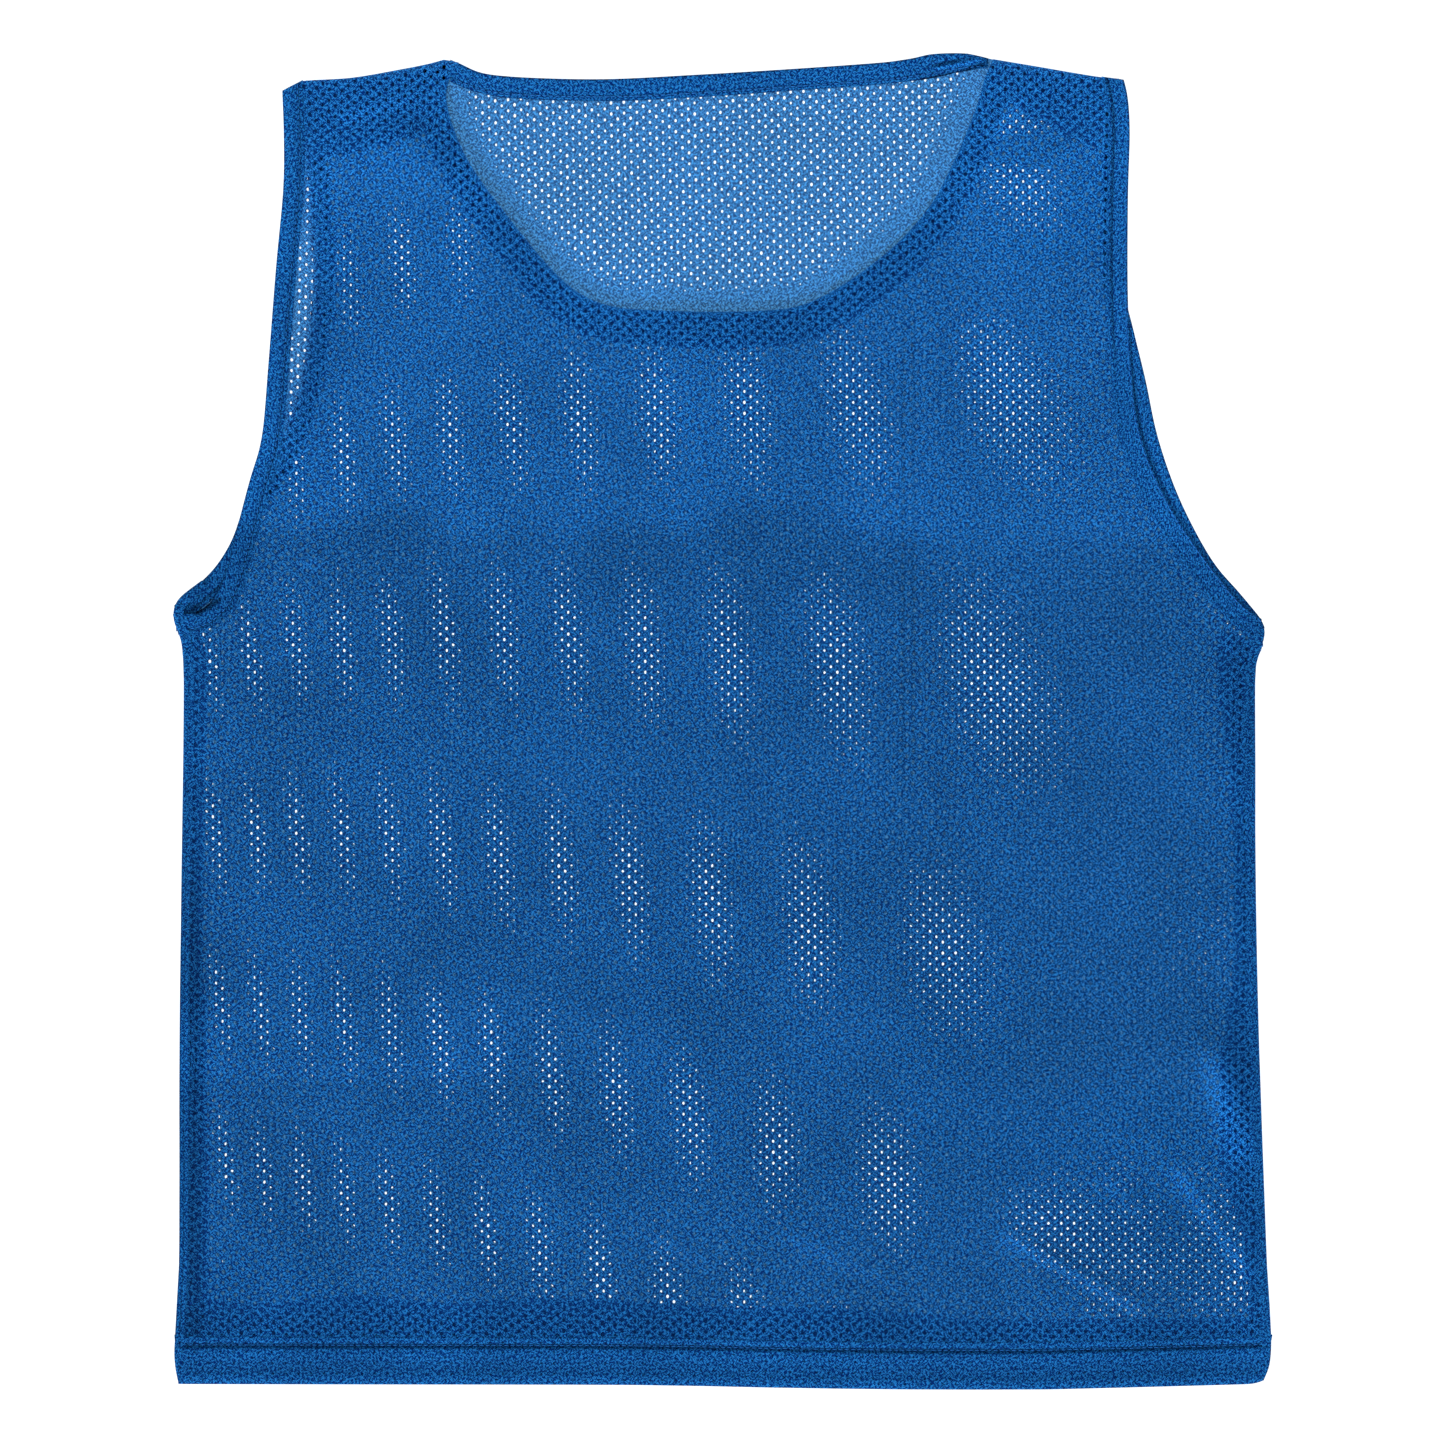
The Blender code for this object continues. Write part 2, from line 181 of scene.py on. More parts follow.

# Cross-sections of the strips, from the rolled outer edge to the inner one: across, height, and how
# light the cloth is there, as painted light and shade: painted shade in the stitched grooves and on
# the rolled edge, painted highlight on the raised ridges
BINDING_SECTION = (
    (2.2, -1.05, 0.65),
    (0.9, -1.0, 0.65),
    (0.25, -0.75, 0.65),
    (0.0, -0.4, 0.7),
    (0.3, -0.1, 0.8),
    (1.1, 0.1, 1.1),
    (3.0, 0.22, 1.08),
    (5.5, 0.2, 1.05),
    (7.0, 0.05, 0.95),
    (7.7, -0.3, 0.35),
    (8.4, -0.05, 0.6),
    (9.4, 0.1, 1.0),
    (10.2, 0.05, 0.9),
    (10.5, -0.3, 0.4),
)
HEM_SECTION = (
    (2.4, -1.1, 0.8),
    (1.0, -1.05, 0.8),
    (0.3, -0.8, 0.8),
    (0.0, -0.4, 0.85),
    (0.35, -0.05, 1.0),
    (1.3, 0.15, 1.15),
    (3.5, 0.3, 1.1),
    (7.0, -0.1, 0.9),
    (11.0, 0.15, 0.95),
    (15.0, 0.6, 1.1),
    (18.0, 0.6, 1.12),
    (19.3, -0.5, 0.6),
    (20.2, -0.5, 0.55),
    (21.4, 0.15, 1.15),
    (23.6, 0.2, 1.1),
    (24.8, -0.3, 0.7),
)
NECK_SECTION = (
    (2.0, -0.95, 0.8),
    (0.8, -0.9, 0.8),
    (0.2, -0.7, 0.75),
    (0.0, -0.4, 0.75),
    (0.3, -0.1, 0.85),
    (1.4, 0.1, 1.05),
    (4.5, 0.2, 1.05),
    (7.5, 0.15, 1.0),
    (9.0, -0.12, 0.6),
    (10.2, 0.0, 0.95),
    (11.2, -0.45, 0.45),
)
TURNED_SECTION = (
    (0.2, -0.3, 0.5),
    (0.6, -0.05, 1.0),
    (5.5, 0.0, 1.0),
    (10.6, -0.05, 1.0),
    (11.0, -0.3, 0.8),
)

# The neck strip's width where it is turned under, and the points' distance along and across strips
TURNED_BINDING = 10.4
STRIP_STEP = 2.0
SECTION_STEP = 0.8

# Rolled edges, where front and back are joined: distance inside the edge, share of the height from
# the back's cloth (0) to the front's (1), lift
SIDE_ROLL = (
    (5.2, 1.0, -0.1),
    (3.0, 1.0, 0.12),
    (2.2, 1.0, -0.08),
    (1.4, 1.0, 0.12),
    (0.6, 0.95, 0.05),
    (0.15, 0.75, 0.0),
    (0.0, 0.5, 0.0),
    (0.15, 0.25, 0.0),
    (0.6, 0.05, -0.05),
    (1.4, 0.0, -0.1),
    (5.2, 0.0, -0.05),
)

# How much higher than the front's cloth the rolled edge lies at the underarms
TIP_RAISED = 0.3

# Plain seam allowances between front and back, coloured in painted shade, which darken the front's
# holes: share of the way along the edge, depth there. Then the rows across, as shares of the depth,
# their tones, which fade the painted shade out inwards, and the height, as a share of the way from
# the back's cloth to the front's
SIDE_DEPTHS_LEFT = ((0.0, 11.0), (0.4, 10.0), (0.6, 14.0), (1.0, 14.0))
SIDE_DEPTHS_RIGHT = (
    (0.0, 22.0),
    (0.2, 12.0),
    (0.45, 10.0),
    (0.6, 20.0),
    (0.75, 22.0),
    (0.85, 11.0),
    (1.0, 10.0),
)
HEM_DEPTHS = (
    (0.0, 22.0),
    (0.08, 18.0),
    (0.16, 23.0),
    (0.25, 19.0),
    (0.34, 22.0),
    (0.5, 18.0),
    (0.6, 19.0),
    (0.72, 14.0),
    (1.0, 11.0),
)
SHOULDER_DEPTHS_LEFT = ((0.0, 40.0), (0.6, 34.0), (1.0, 18.0))
SHOULDER_DEPTHS_RIGHT = ((0.0, 12.0), (0.4, 24.0), (1.0, 36.0))
NECK_DEPTHS = ((0.0, 13.0), (0.5, 19.0), (1.0, 13.0))
ALLOWANCE_ROWS = (0.0, 0.2, 0.4, 0.6, 0.8, 1.0)
ALLOWANCE_TONES = (1.0, 1.0, 1.0, 1.2, 1.7, 2.4)
ALLOWANCE_HEIGHT = 0.4

# The back's holes are closed near the front's neckline and open further away: both distances. A
# hole that is open by less than the smallest share is left out
CLOSED_WITHIN = 4.0
OPEN_BEYOND = 18.0
SMALLEST_HOLE = 0.35

# Patches where the back is slack and its holes are narrow: across, height, half width, half
# height, how far the holes are open there
SLACK_PATCHES = (
    (-165.0, 290.0, 34.0, 18.0, 0.0),
    (-222.0, -282.0, 50.0, 17.0, 0.0),
    (159.0, 286.0, 40.0, 11.0, 0.0),
    (187.0, 258.0, 19.0, 34.0, 0.0),
    (128.0, 302.0, 12.0, 16.0, 0.0),
    (164.0, 236.0, 44.0, 9.0, 0.0),
    (200.0, -214.0, 90.0, 36.0, 0.5),
    (120.0, -170.0, 40.0, 60.0, 0.75),
    (172.0, -284.0, 18.0, 16.0, 0.6),
    (206.0, -250.0, 34.0, 24.0, 0.65),
    (237.0, -258.0, 28.0, 38.0, 0.55),
    (-186.0, 232.0, 13.0, 30.0, 0.74),
    (-135.0, 242.0, 17.0, 40.0, 0.74),
)

# The patch of the front beside the left armhole, as above, and by how much holes differ
ARMHOLE_PATCH = (-208.0, 200.0, 22.0, 100.0, 0.75)
HOLE_SEED = 5
HOLE_SHARES = (0.8, 1.12)

# How much painted light brightens the single layer of the back beside the neckline, where the
# front's edge shades it, how much painted light brightens the front at the shoulders and between
# which heights this grows, how much of the back's light the front lets through, and how much painted
# shade darkens it along its left side, in what width, and over what distance this fades upwards
NECKLINE_LIGHT = 0.06
SHOULDER_LIGHT = 0.14
SHOULDERS_FROM = (190.0, 280.0)
FRONT_THIN = 0.5
SIDE_SHADE = 0.32
SIDE_SHADE_WIDTH = 14.0
SIDE_SHADE_FADE = 60.0


def linear(hex_colour):
    """An sRGB hex colour as linear red, green and blue."""
    channels = [int(hex_colour[i : i + 2], 16) / 255 for i in (1, 3, 5)]
    return tuple(c / 12.92 if c <= 0.04045 else ((c + 0.055) / 1.055) ** 2.4 for c in channels)


def length_setting(name, description, millimetres):
    return FloatProperty(
        name=name, description=description, default=millimetres * MM, unit="LENGTH"
    )


def hole_setting(name, description, width, height):
    return FloatVectorProperty(
        name=name,
        description=description,
        default=(width * MM, height * MM),
        size=2,
        unit="LENGTH",
    )


def strength_setting(name, description, default):
    return FloatProperty(name=name, description=description, default=default)


def colour_setting(name, description, hex_colour):
    return FloatVectorProperty(
        name=name,
        description=description,
        default=linear(hex_colour),
        subtype="COLOR",
        min=0.0,
        max=1.0,
    )


class BibMeshSettings(bpy.types.PropertyGroup):
    """Sizes of the knitted nets."""

    column_pitch: length_setting("Column pitch", "Distance between two holes of one course", 6.4)
    course_pitch: length_setting(
        "Course pitch", "Distance between every other course of holes", 5.45
    )
    front_hole: hole_setting("Front hole", "Width and height of one hole of the front", 1.7, 2.1)
    back_hole: hole_setting(
        "Back hole", "Width and height of one hole of the back, which is drawn narrow", 1.3, 1.72
    )


class BibTrimSettings(bpy.types.PropertyGroup):
    """Sizes of the stitching."""

    stitch_length: length_setting("Stitch length", "Length of one stitch", 2.2)
    stitch_gap: length_setting("Stitch gap", "Distance from one stitch to the next", 0.9)
    thread_width: length_setting("Thread width", "Width of the sewing thread", 0.5)


class BibColourSettings(bpy.types.PropertyGroup):
    """Colours of the cloth, the thread and the table."""

    # The knit's colour runs from painted shade deep between its strands to painted glints on top of
    # them
    yarn_shade_colour: colour_setting(
        "Yarn gap colour", "Colour of the knit deep between its strands of yarn", "#001D56"
    )
    yarn_colour: colour_setting(
        "Yarn colour", "Colour of the knit on top of its strands of yarn", "#1862A2"
    )
    mesh_glow: colour_setting(
        "Mesh glow", "Colour of the light that passes through the knitted net", "#68ADDE"
    )
    # Painted shade: the allowances' colour is the knit darkened for the shade deep between the
    # layers
    allowance_shade_colour: colour_setting(
        "Allowance colour", "Colour of the seam allowances, deep between the layers", "#0A3069"
    )
    thread_colour: colour_setting("Thread colour", "Colour of the sewing thread", "#1560AE")
    table_colour: colour_setting("Table colour", "Colour of the plain table", "#F0F7FD")


class BibStageSettings(bpy.types.PropertyGroup):
    """The camera and the lights."""

    view_width: length_setting("View width", "Width of what the camera sees at the table", 722.5)
    lens: FloatProperty(
        name="Lens",
        description="Focal length of the camera, in millimetres",
        default=200.0,
        unit="CAMERA",
    )
    key_strength: strength_setting("Key light", "Strength of the soft lamp straight above", 1.6)
    side_strength: strength_setting(
        "Side light", "Strength of the low lamp beyond the hem, which brings out the relief", 4.2
    )
    sky_strength: strength_setting("Sky light", "Strength of the light from all round", 0.35)
    table_glow: strength_setting("Table glow", "Strength of the light that the table gives off", 1.2)


def add_node(tree, kind, inputs=None, **settings):
    """Adds a node with its settings. An input gets a value, or a link where a socket is given."""
    new = tree.nodes.new(kind)
    for name, value in settings.items():
        setattr(new, name, value)
    for name, value in (inputs or {}).items():
        if isinstance(value, bpy.types.NodeSocket):
            tree.links.new(value, new.inputs[name])
        else:
            new.inputs[name].default_value = value
    return new


def maths(tree, operation, *values):
    """A math node's result for the values or sockets given."""
    inputs = dict(enumerate(values))
    return add_node(tree, "ShaderNodeMath", inputs, operation=operation).outputs[0]


def spread(tree, value, low, high, to_low, to_high):
    """A value's range stretched to another one, and kept inside it."""
    inputs = {
        "Value": value,
        "From Min": low,
        "From Max": high,
        "To Min": to_low,
        "To Max": to_high,
    }
    return add_node(tree, "ShaderNodeMapRange", inputs).outputs[0]


def new_material(name):
    """An empty node material, its tree and its output."""
    old = bpy.data.materials.get(name)
    if old:
        bpy.data.materials.remove(old)
    material = bpy.data.materials.new(name)
    material.use_nodes = True
    tree = material.node_tree
    tree.nodes.clear()
    return material, tree, add_node(tree, "ShaderNodeOutputMaterial")


def cloth_place(tree):
    """The place on the cloth, before it was drawn out of true, in metres."""
    return add_node(tree, "ShaderNodeUVMap", uv_map="Cloth").outputs["UV"]


def attribute(tree, name):
    """A value painted on the piece's own points, such as its Tone: painted light and shade."""
    return add_node(tree, "ShaderNodeAttribute", attribute_name=name).outputs["Fac"]


def noise(tree, place, size, **settings):
    """Noise from 0 to 1, with patches of the size given, in units of the place."""
    inputs = {"Vector": place, "Scale": 1 / size, "Detail": 1.0}
    return add_node(tree, "ShaderNodeTexNoise", inputs, **settings).outputs["Fac"]


# Strands of the knit run both ways askew. Their flecks' width and length, how far they turn, and the
# range of the product of both that tells dark gaps from bright crossings, which the colour shows as
# painted shade in the gaps and painted glints at the crossings
STRAND_WIDTH = 0.66
STRAND_LENGTH = 1.5
STRAND_TURN = 45.0
KNIT_RANGE = (0.18, 0.33)


def strands(tree, cloth, turn):
    """Flecks of noise drawn out along strands that run at the given angle."""
    inputs = {"Vector": cloth, "Rotation": (0.0, 0.0, math.radians(turn))}
    turned = add_node(tree, "ShaderNodeMapping", inputs).outputs["Vector"]
    scale = (1 / (STRAND_LENGTH * MM), 1 / (STRAND_WIDTH * MM), 1.0)
    drawn_out = add_node(tree, "ShaderNodeMapping", {"Vector": turned, "Scale": scale})
    return noise(tree, drawn_out.outputs["Vector"], 1.0, noise_dimensions="2D")


def knit_relief(tree, cloth):
    """The relief of the knit, from 0 to 1: strands of yarn that cross, highest at the crossings."""
    one_way = strands(tree, cloth, STRAND_TURN)
    other_way = strands(tree, cloth, -STRAND_TURN)
    return spread(tree, maths(tree, "MULTIPLY", one_way, other_way), *KNIT_RANGE, 0.0, 1.0)


def net_rows(tree, cloth, sizes):
    """Where two slanting rows of the net cross: 1 at each hole, -1 midway between the rows."""
    per_pitch = (math.tau / sizes.column_pitch, math.tau / sizes.course_pitch, 1.0)
    phase = add_node(tree, "ShaderNodeMapping", {"Vector": cloth, "Scale": per_pitch})
    split = add_node(tree, "ShaderNodeSeparateXYZ", {"Vector": phase.outputs["Vector"]})
    across, along = split.outputs["X"], split.outputs["Y"]
    rising = maths(tree, "COSINE", maths(tree, "SUBTRACT", across, along))
    falling = maths(tree, "COSINE", maths(tree, "ADD", across, along))
    return maths(tree, "MINIMUM", rising, falling)


# How light the cloth is in broad patches: their size, and the noise's range stretched to tones
PATCH_SIZE = 60.0
PATCH_TONES = (0.3, 0.7, 0.88, 1.08)

# The fold across the chest, from a stack: its height, how far it wanders, half its breadth, and how
# much painted light brightens the cloth above it
CHEST_FOLD = 98.0
FOLD_WANDER = 16.0
FOLD_HALF = 7.0
CHEST_LIGHT = 0.24

# The band of painted light over the left hip: lower and upper edge, left and right end of its
# fading, half the breadth of its lower and upper edge, and how much painted light it adds
HIP_BAND = (-178.0, -143.0, -150.0, -20.0)
HIP_EDGES = (3.0, 8.0)
HIP_LIGHT = 0.16

# The thin lines of painted shade that stand for soft folds down the right half: places across, lower
# and upper end, over what length each end fades, where a line starts and ends to fade across, and
# how much painted shade darkens it
FOLD_SHADE_LINES = (90.5, 95.5)
LINE_ENDS = (-60.0, 214.0)
LINE_FADES = (60.0, 20.0)
LINE_HALF = (0.5, 1.5)
LINE_SHADE = 0.22


def fold_light_and_patches(tree):
    """How light the cloth is: random broad patches of tone, painted light above the chest fold and
    over the left hip, and painted shade along two thin lines; 1 on average, more above the chest
    fold.
    """
    place = add_node(tree, "ShaderNodeTexCoord").outputs["Object"]
    split = add_node(tree, "ShaderNodeSeparateXYZ", {"Vector": place})
    across, up = split.outputs["X"], split.outputs["Y"]
    broad = noise(tree, place, PATCH_SIZE * MM, noise_dimensions="2D")
    wander = spread(tree, broad, 0.0, 1.0, -FOLD_WANDER * MM, FOLD_WANDER * MM)
    low, high = (CHEST_FOLD - FOLD_HALF) * MM, (CHEST_FOLD + FOLD_HALF) * MM
    chest = spread(tree, maths(tree, "ADD", up, wander), low, high, 0.0, CHEST_LIGHT)
    tone = maths(tree, "ADD", spread(tree, broad, *PATCH_TONES), chest)

    low, high, left, right = (edge * MM for edge in HIP_BAND)
    low_half, high_half = (half * MM for half in HIP_EDGES)
    above = spread(tree, up, low - low_half, low + low_half, 0.0, 1.0)
    below = spread(tree, up, high - high_half, high + high_half, 1.0, 0.0)
    beside_middle = spread(tree, across, left, right, HIP_LIGHT, 0.0)
    hip = maths(tree, "MULTIPLY", maths(tree, "MULTIPLY", above, below), beside_middle)
    tone = maths(tree, "ADD", tone, hip)

    low, high = (end * MM for end in LINE_ENDS)
    low_fade, high_fade = (fade * MM for fade in LINE_FADES)
    above = spread(tree, up, low, low + low_fade, 0.0, LINE_SHADE)
    below = spread(tree, up, high - high_fade, high, 1.0, 0.0)
    reach = maths(tree, "MULTIPLY", above, below)
    near, far = (half * MM for half in LINE_HALF)
    for line in FOLD_SHADE_LINES:
        off = maths(tree, "ABSOLUTE", maths(tree, "SUBTRACT", across, line * MM))
        dark = maths(tree, "MULTIPLY", spread(tree, off, near, far, 1.0, 0.0), reach)
        tone = maths(tree, "SUBTRACT", tone, dark)
    return tone


def tinted(tree, colour, tone):
    """A colour times a tone."""
    if not isinstance(colour, bpy.types.NodeSocket):
        colour = tuple(colour)
    inputs = {0: colour, "Scale": tone}
    return add_node(tree, "ShaderNodeVectorMath", inputs, operation="SCALE").outputs[0]


def cloth_colour(tree, colours, relief, detail):
    """The yarn's colour: painted shade between its strands and painted glints on them, times a finer
    detail, random patches and the painted light and shade of its folds, and its Tone.
    """
    gap, top = np.array(colours.yarn_shade_colour), np.array(colours.yarn_colour)
    inputs = {0: relief, 1: tuple(top - gap), 2: tuple(gap)}
    yarn = add_node(tree, "ShaderNodeVectorMath", inputs, operation="MULTIPLY_ADD").outputs[0]
    folds_lit = maths(tree, "MULTIPLY", detail, fold_light_and_patches(tree))
    return tinted(tree, yarn, maths(tree, "MULTIPLY", folds_lit, attribute(tree, "Tone")))


def principled(tree, colour, roughness, gloss, **more):
    """A surface's shader from its colour, its roughness, its gloss and more sockets by name."""
    inputs = {"Base Color": colour, "Roughness": roughness, "Specular IOR Level": gloss, **more}
    return add_node(tree, "ShaderNodeBsdfPrincipled", inputs).outputs[0]


# The knit's bump, its gloss, and its roughness where it is a net and where it is doubled
BUMP_STRENGTH = 0.6
BUMP_DEPTH = 0.3
KNIT_GLOSS = 0.015
MESH_ROUGHNESS = 0.55
DOUBLED_ROUGHNESS = 0.6


def knit_shader(tree, colour, roughness, relief):
    """The matt surface of the knit, in relief."""
    inputs = {"Height": relief, "Strength": BUMP_STRENGTH, "Distance": BUMP_DEPTH * MM}
    bump = add_node(tree, "ShaderNodeBump", inputs).outputs["Normal"]
    return principled(tree, colour, roughness, KNIT_GLOSS, Normal=bump)


# Names of the materials
EYELET_MESH = "Warp-knit polyester eyelet mesh"
DOUBLED_KNIT = "Doubled polyester knit"
# The folded knit's dark colour is painted shade
SHADED_FOLDED_KNIT = "Folded polyester knit"
SEWING_THREAD = "Polyester sewing thread"
ACRYLIC = "White acrylic"

# The net: its rows' range stretched to tones, which are low round the holes, where they are painted
# shade, and higher between them, the share of the light that passes through it where its Thin is 1,
# and how much this light differs over the strands
RIM_SHADE_TONES = (-1.0, 0.4, 1.23, 0.79)
GLOW_SHARE = 0.25
GLOW_TONES = (0.55, 1.5)


def eyelet_mesh_material(context):
    """Warp-knit polyester eyelet mesh: crossing strands of yarn, with painted shade round the holes.
    """
    colours = context.scene.bib_colours
    material, tree, output = new_material(EYELET_MESH)
    cloth = cloth_place(tree)
    relief = knit_relief(tree, cloth)
    rim_shade = spread(tree, net_rows(tree, cloth, context.scene.bib_mesh), *RIM_SHADE_TONES)
    yarn = knit_shader(tree, cloth_colour(tree, colours, relief, rim_shade), MESH_ROUGHNESS, relief)
    tone = spread(tree, relief, 0.0, 1.0, *GLOW_TONES)
    tone = maths(tree, "MULTIPLY", tone, attribute(tree, "Tone"))
    inputs = {"Color": tinted(tree, colours.mesh_glow, tone)}
    glow = add_node(tree, "ShaderNodeBsdfTranslucent", inputs).outputs[0]
    passes = maths(tree, "MULTIPLY", attribute(tree, "Thin"), GLOW_SHARE)
    both = add_node(tree, "ShaderNodeMixShader", {0: passes, 1: yarn, 2: glow}).outputs[0]
    tree.links.new(both, output.inputs["Surface"])
    return material


# The doubled knit: its rows' range stretched to tones, which are low where its small holes close, as
# painted shade in them
SPECK_SHADE_TONES = (0.4, 0.85, 1.03, 0.45)


def doubled_knit_material(context):
    """The same knit, doubled and sewn: opaque, with dark specks of painted shade where its small
    holes close.
    """
    material, tree, output = new_material(DOUBLED_KNIT)
    cloth = cloth_place(tree)
    relief = knit_relief(tree, cloth)
    specks = spread(tree, net_rows(tree, cloth, context.scene.bib_mesh), *SPECK_SHADE_TONES)
    colour = cloth_colour(tree, context.scene.bib_colours, relief, specks)
    yarn = knit_shader(tree, colour, DOUBLED_ROUGHNESS, relief)
    tree.links.new(yarn, output.inputs["Surface"])
    return material


# The folded knit's tones over its strands, and its roughness and gloss
FOLDED_TONES = (0.8, 1.25)
FOLDED_FINISH = (0.8, 0.03)


def shaded_folded_knit_material(context):
    """Seam allowance of the same knit, folded several times: close and matt, coloured with painted
    shade for the shade between the layers.
    """
    material, tree, output = new_material(SHADED_FOLDED_KNIT)
    cloth = cloth_place(tree)
    tone = spread(tree, knit_relief(tree, cloth), 0.0, 1.0, *FOLDED_TONES)
    tone = maths(tree, "MULTIPLY", tone, attribute(tree, "Tone"))
    colour = tinted(tree, context.scene.bib_colours.allowance_shade_colour, tone)
    tree.links.new(principled(tree, colour, *FOLDED_FINISH), output.inputs["Surface"])
    return material


# The thread's fibres: their size, and the noise's range stretched to tones. Then the thread's
# roughness and gloss
FIBRE_SIZE = 0.6
FIBRE_TONES = (0.3, 0.7, 0.8, 1.25)
THREAD_FINISH = (0.5, 0.15)


def sewing_thread_material(context):
    """Spun polyester sewing thread: slightly shinier than the cloth, so the stitches catch light."""
    material, tree, output = new_material(SEWING_THREAD)
    place = add_node(tree, "ShaderNodeTexCoord").outputs["Object"]
    tone = spread(tree, noise(tree, place, FIBRE_SIZE * MM), *FIBRE_TONES)
    colour = tinted(tree, context.scene.bib_colours.thread_colour, tone)
    tree.links.new(principled(tree, colour, *THREAD_FINISH), output.inputs["Surface"])
    return material


# Share of the lamps' light that the table gives back, which counts little beside its own light,
# and the table's roughness and gloss
TABLE_SHARE = 0.1
TABLE_FINISH = (0.8, 0.1)


def acrylic_material(context):
    """White acrylic light table: matt, even, and lit from below like a photographer's."""
    material, tree, output = new_material(ACRYLIC)
    white = tuple(context.scene.bib_colours.table_colour)
    dimmed = (*(TABLE_SHARE * channel for channel in white), 1.0)
    own_light = {
        "Emission Color": (*white, 1.0),
        "Emission Strength": context.scene.bib_stage.table_glow,
    }
    top = principled(tree, dimmed, *TABLE_FINISH, **own_light)
    tree.links.new(top, output.inputs["Surface"])
    return material


MAKERS = {
    EYELET_MESH: eyelet_mesh_material,
    DOUBLED_KNIT: doubled_knit_material,
    SHADED_FOLDED_KNIT: shaded_folded_knit_material,
    SEWING_THREAD: sewing_thread_material,
    ACRYLIC: acrylic_material,
}


def material_named(context, name):
    """The material of that name, made the first time that a piece needs it."""
    return bpy.data.materials.get(name) or MAKERS[name](context)


# How near two corners of a CAD piece are to be one, in metres, and how steep its upper faces may be
MERGE_DISTANCE = 1e-6
LEAST_UPWARD = 0.5


def upper_sheet(node):
    """A CAD piece's upper surface, without its rim and underside, as a bmesh in millimetres."""
    bm = bmesh.new()
    bm.from_mesh(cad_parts[node].data)
    bmesh.ops.remove_doubles(bm, verts=bm.verts, dist=MERGE_DISTANCE)
    bm.normal_update()
    below = [face for face in bm.faces if face.normal.z < LEAST_UPWARD]
    bmesh.ops.delete(bm, geom=below, context="FACES")
    bmesh.ops.scale(bm, vec=Vector((1, 1, 1)) / MM, verts=bm.verts)
    return bm


def outline_of(node):
    """The outline of a CAD piece's upper surface as an array of points across and along."""
    bm = upper_sheet(node)
    edge = next(e for e in bm.edges if e.is_boundary)
    start = edge.verts[0]
    points = [start.co.xy[:]]
    corner = edge.other_vert(start)
    while corner is not start:
        points.append(corner.co.xy[:])
        edge = next(e for e in corner.link_edges if e.is_boundary and e is not edge)
        corner = edge.other_vert(corner)
    bm.free()
    return np.array(points)


def turning(outline):
    """How sharply the outline turns at each of its points, as an angle."""
    before = outline - np.roll(outline, 1, axis=0)
    after = np.roll(outline, -1, axis=0) - outline
    cross = before[:, 0] * after[:, 1] - before[:, 1] * after[:, 0]
    return np.abs(np.arctan2(cross, (before * after).sum(axis=1)))


# The least distance between two corners of a strip
CORNER_DISTANCE = 5.5


def four_corners(outline):
    """The four sharpest points of a strip's outline that aren't next to each other, in order."""
    found = []
    for index in np.argsort(-turning(outline)):
        if all(np.hypot(*(outline[index] - outline[k])) > CORNER_DISTANCE for k in found):
            found.append(int(index))
        if len(found) == 4:
            return sorted(found)
    raise RuntimeError("a strip's outline has fewer than four corners")


def stretch(outline, start, end):
    """The outline's points from one index on to another, past its last point if need be."""
    count = (end - start) % len(outline)
    return outline[[(start + k) % len(outline) for k in range(count + 1)]]


# How many times a path's points are evened out, and its fewest steps
SMOOTHINGS = 3
FEWEST_STEPS = 8


def evenly(path, count):
    """The path as count + 1 points at even distances, with its facets rounded off."""
    steps = np.hypot(*np.diff(path, axis=0).T)
    along = np.concatenate(([0.0], np.cumsum(steps)))
    wanted = np.linspace(0.0, along[-1], count + 1)
    even = np.column_stack([np.interp(wanted, along, path[:, k]) for k in (0, 1)])
    for _ in range(SMOOTHINGS):
        even[1:-1] = (even[:-2] + 2 * even[1:-1] + even[2:]) / 4
    return even


def length_of(path):
    return float(np.hypot(*np.diff(path, axis=0).T).sum())


def step_count(path):
    return max(FEWEST_STEPS, round(length_of(path) / STRIP_STEP))


def long_edges(node, outside):
    """A strip's outer and inner long edge, both from the same end, at matching points."""
    outline = outline_of(node)
    corners = four_corners(outline)
    sides = [stretch(outline, corners[k], corners[(k + 1) % 4]) for k in range(4)]
    odd = length_of(sides[1]) + length_of(sides[3])
    even = length_of(sides[0]) + length_of(sides[2])
    pair = [sides[1], sides[3][::-1]] if odd > even else [sides[0], sides[2][::-1]]
    pair.sort(key=lambda side: np.hypot(*(side - outside).T).mean())
    count = step_count(pair[0])
    return evenly(pair[0], count), evenly(pair[1], count)


def edge_between(node, start, through, end):
    """The stretch of a CAD piece's outline from one named corner through a point to another."""
    outline = outline_of(node)
    first, middle, last = (
        int(np.argmin(np.hypot(*(outline - place).T))) for place in (start, through, end)
    )
    count = len(outline)
    if (middle - first) % count > (last - first) % count:
        return stretch(outline, last, first)[::-1]
    return stretch(outline, first, last)


def ease(value):
    """A smooth step from 0 to 1."""
    value = np.clip(value, 0.0, 1.0)
    return value * value * (3 - 2 * value)


# Columns of a crease that hold its half width, its rise and its painted light, which is a painted
# highlight on a ridge and painted shade in a groove, and over how many half widths its ends fade
CREASE_WIDTH = 4
CREASE_RISE = 5
CREASE_PAINTED_LIGHT = 6
CREASE_FADE = 1.5


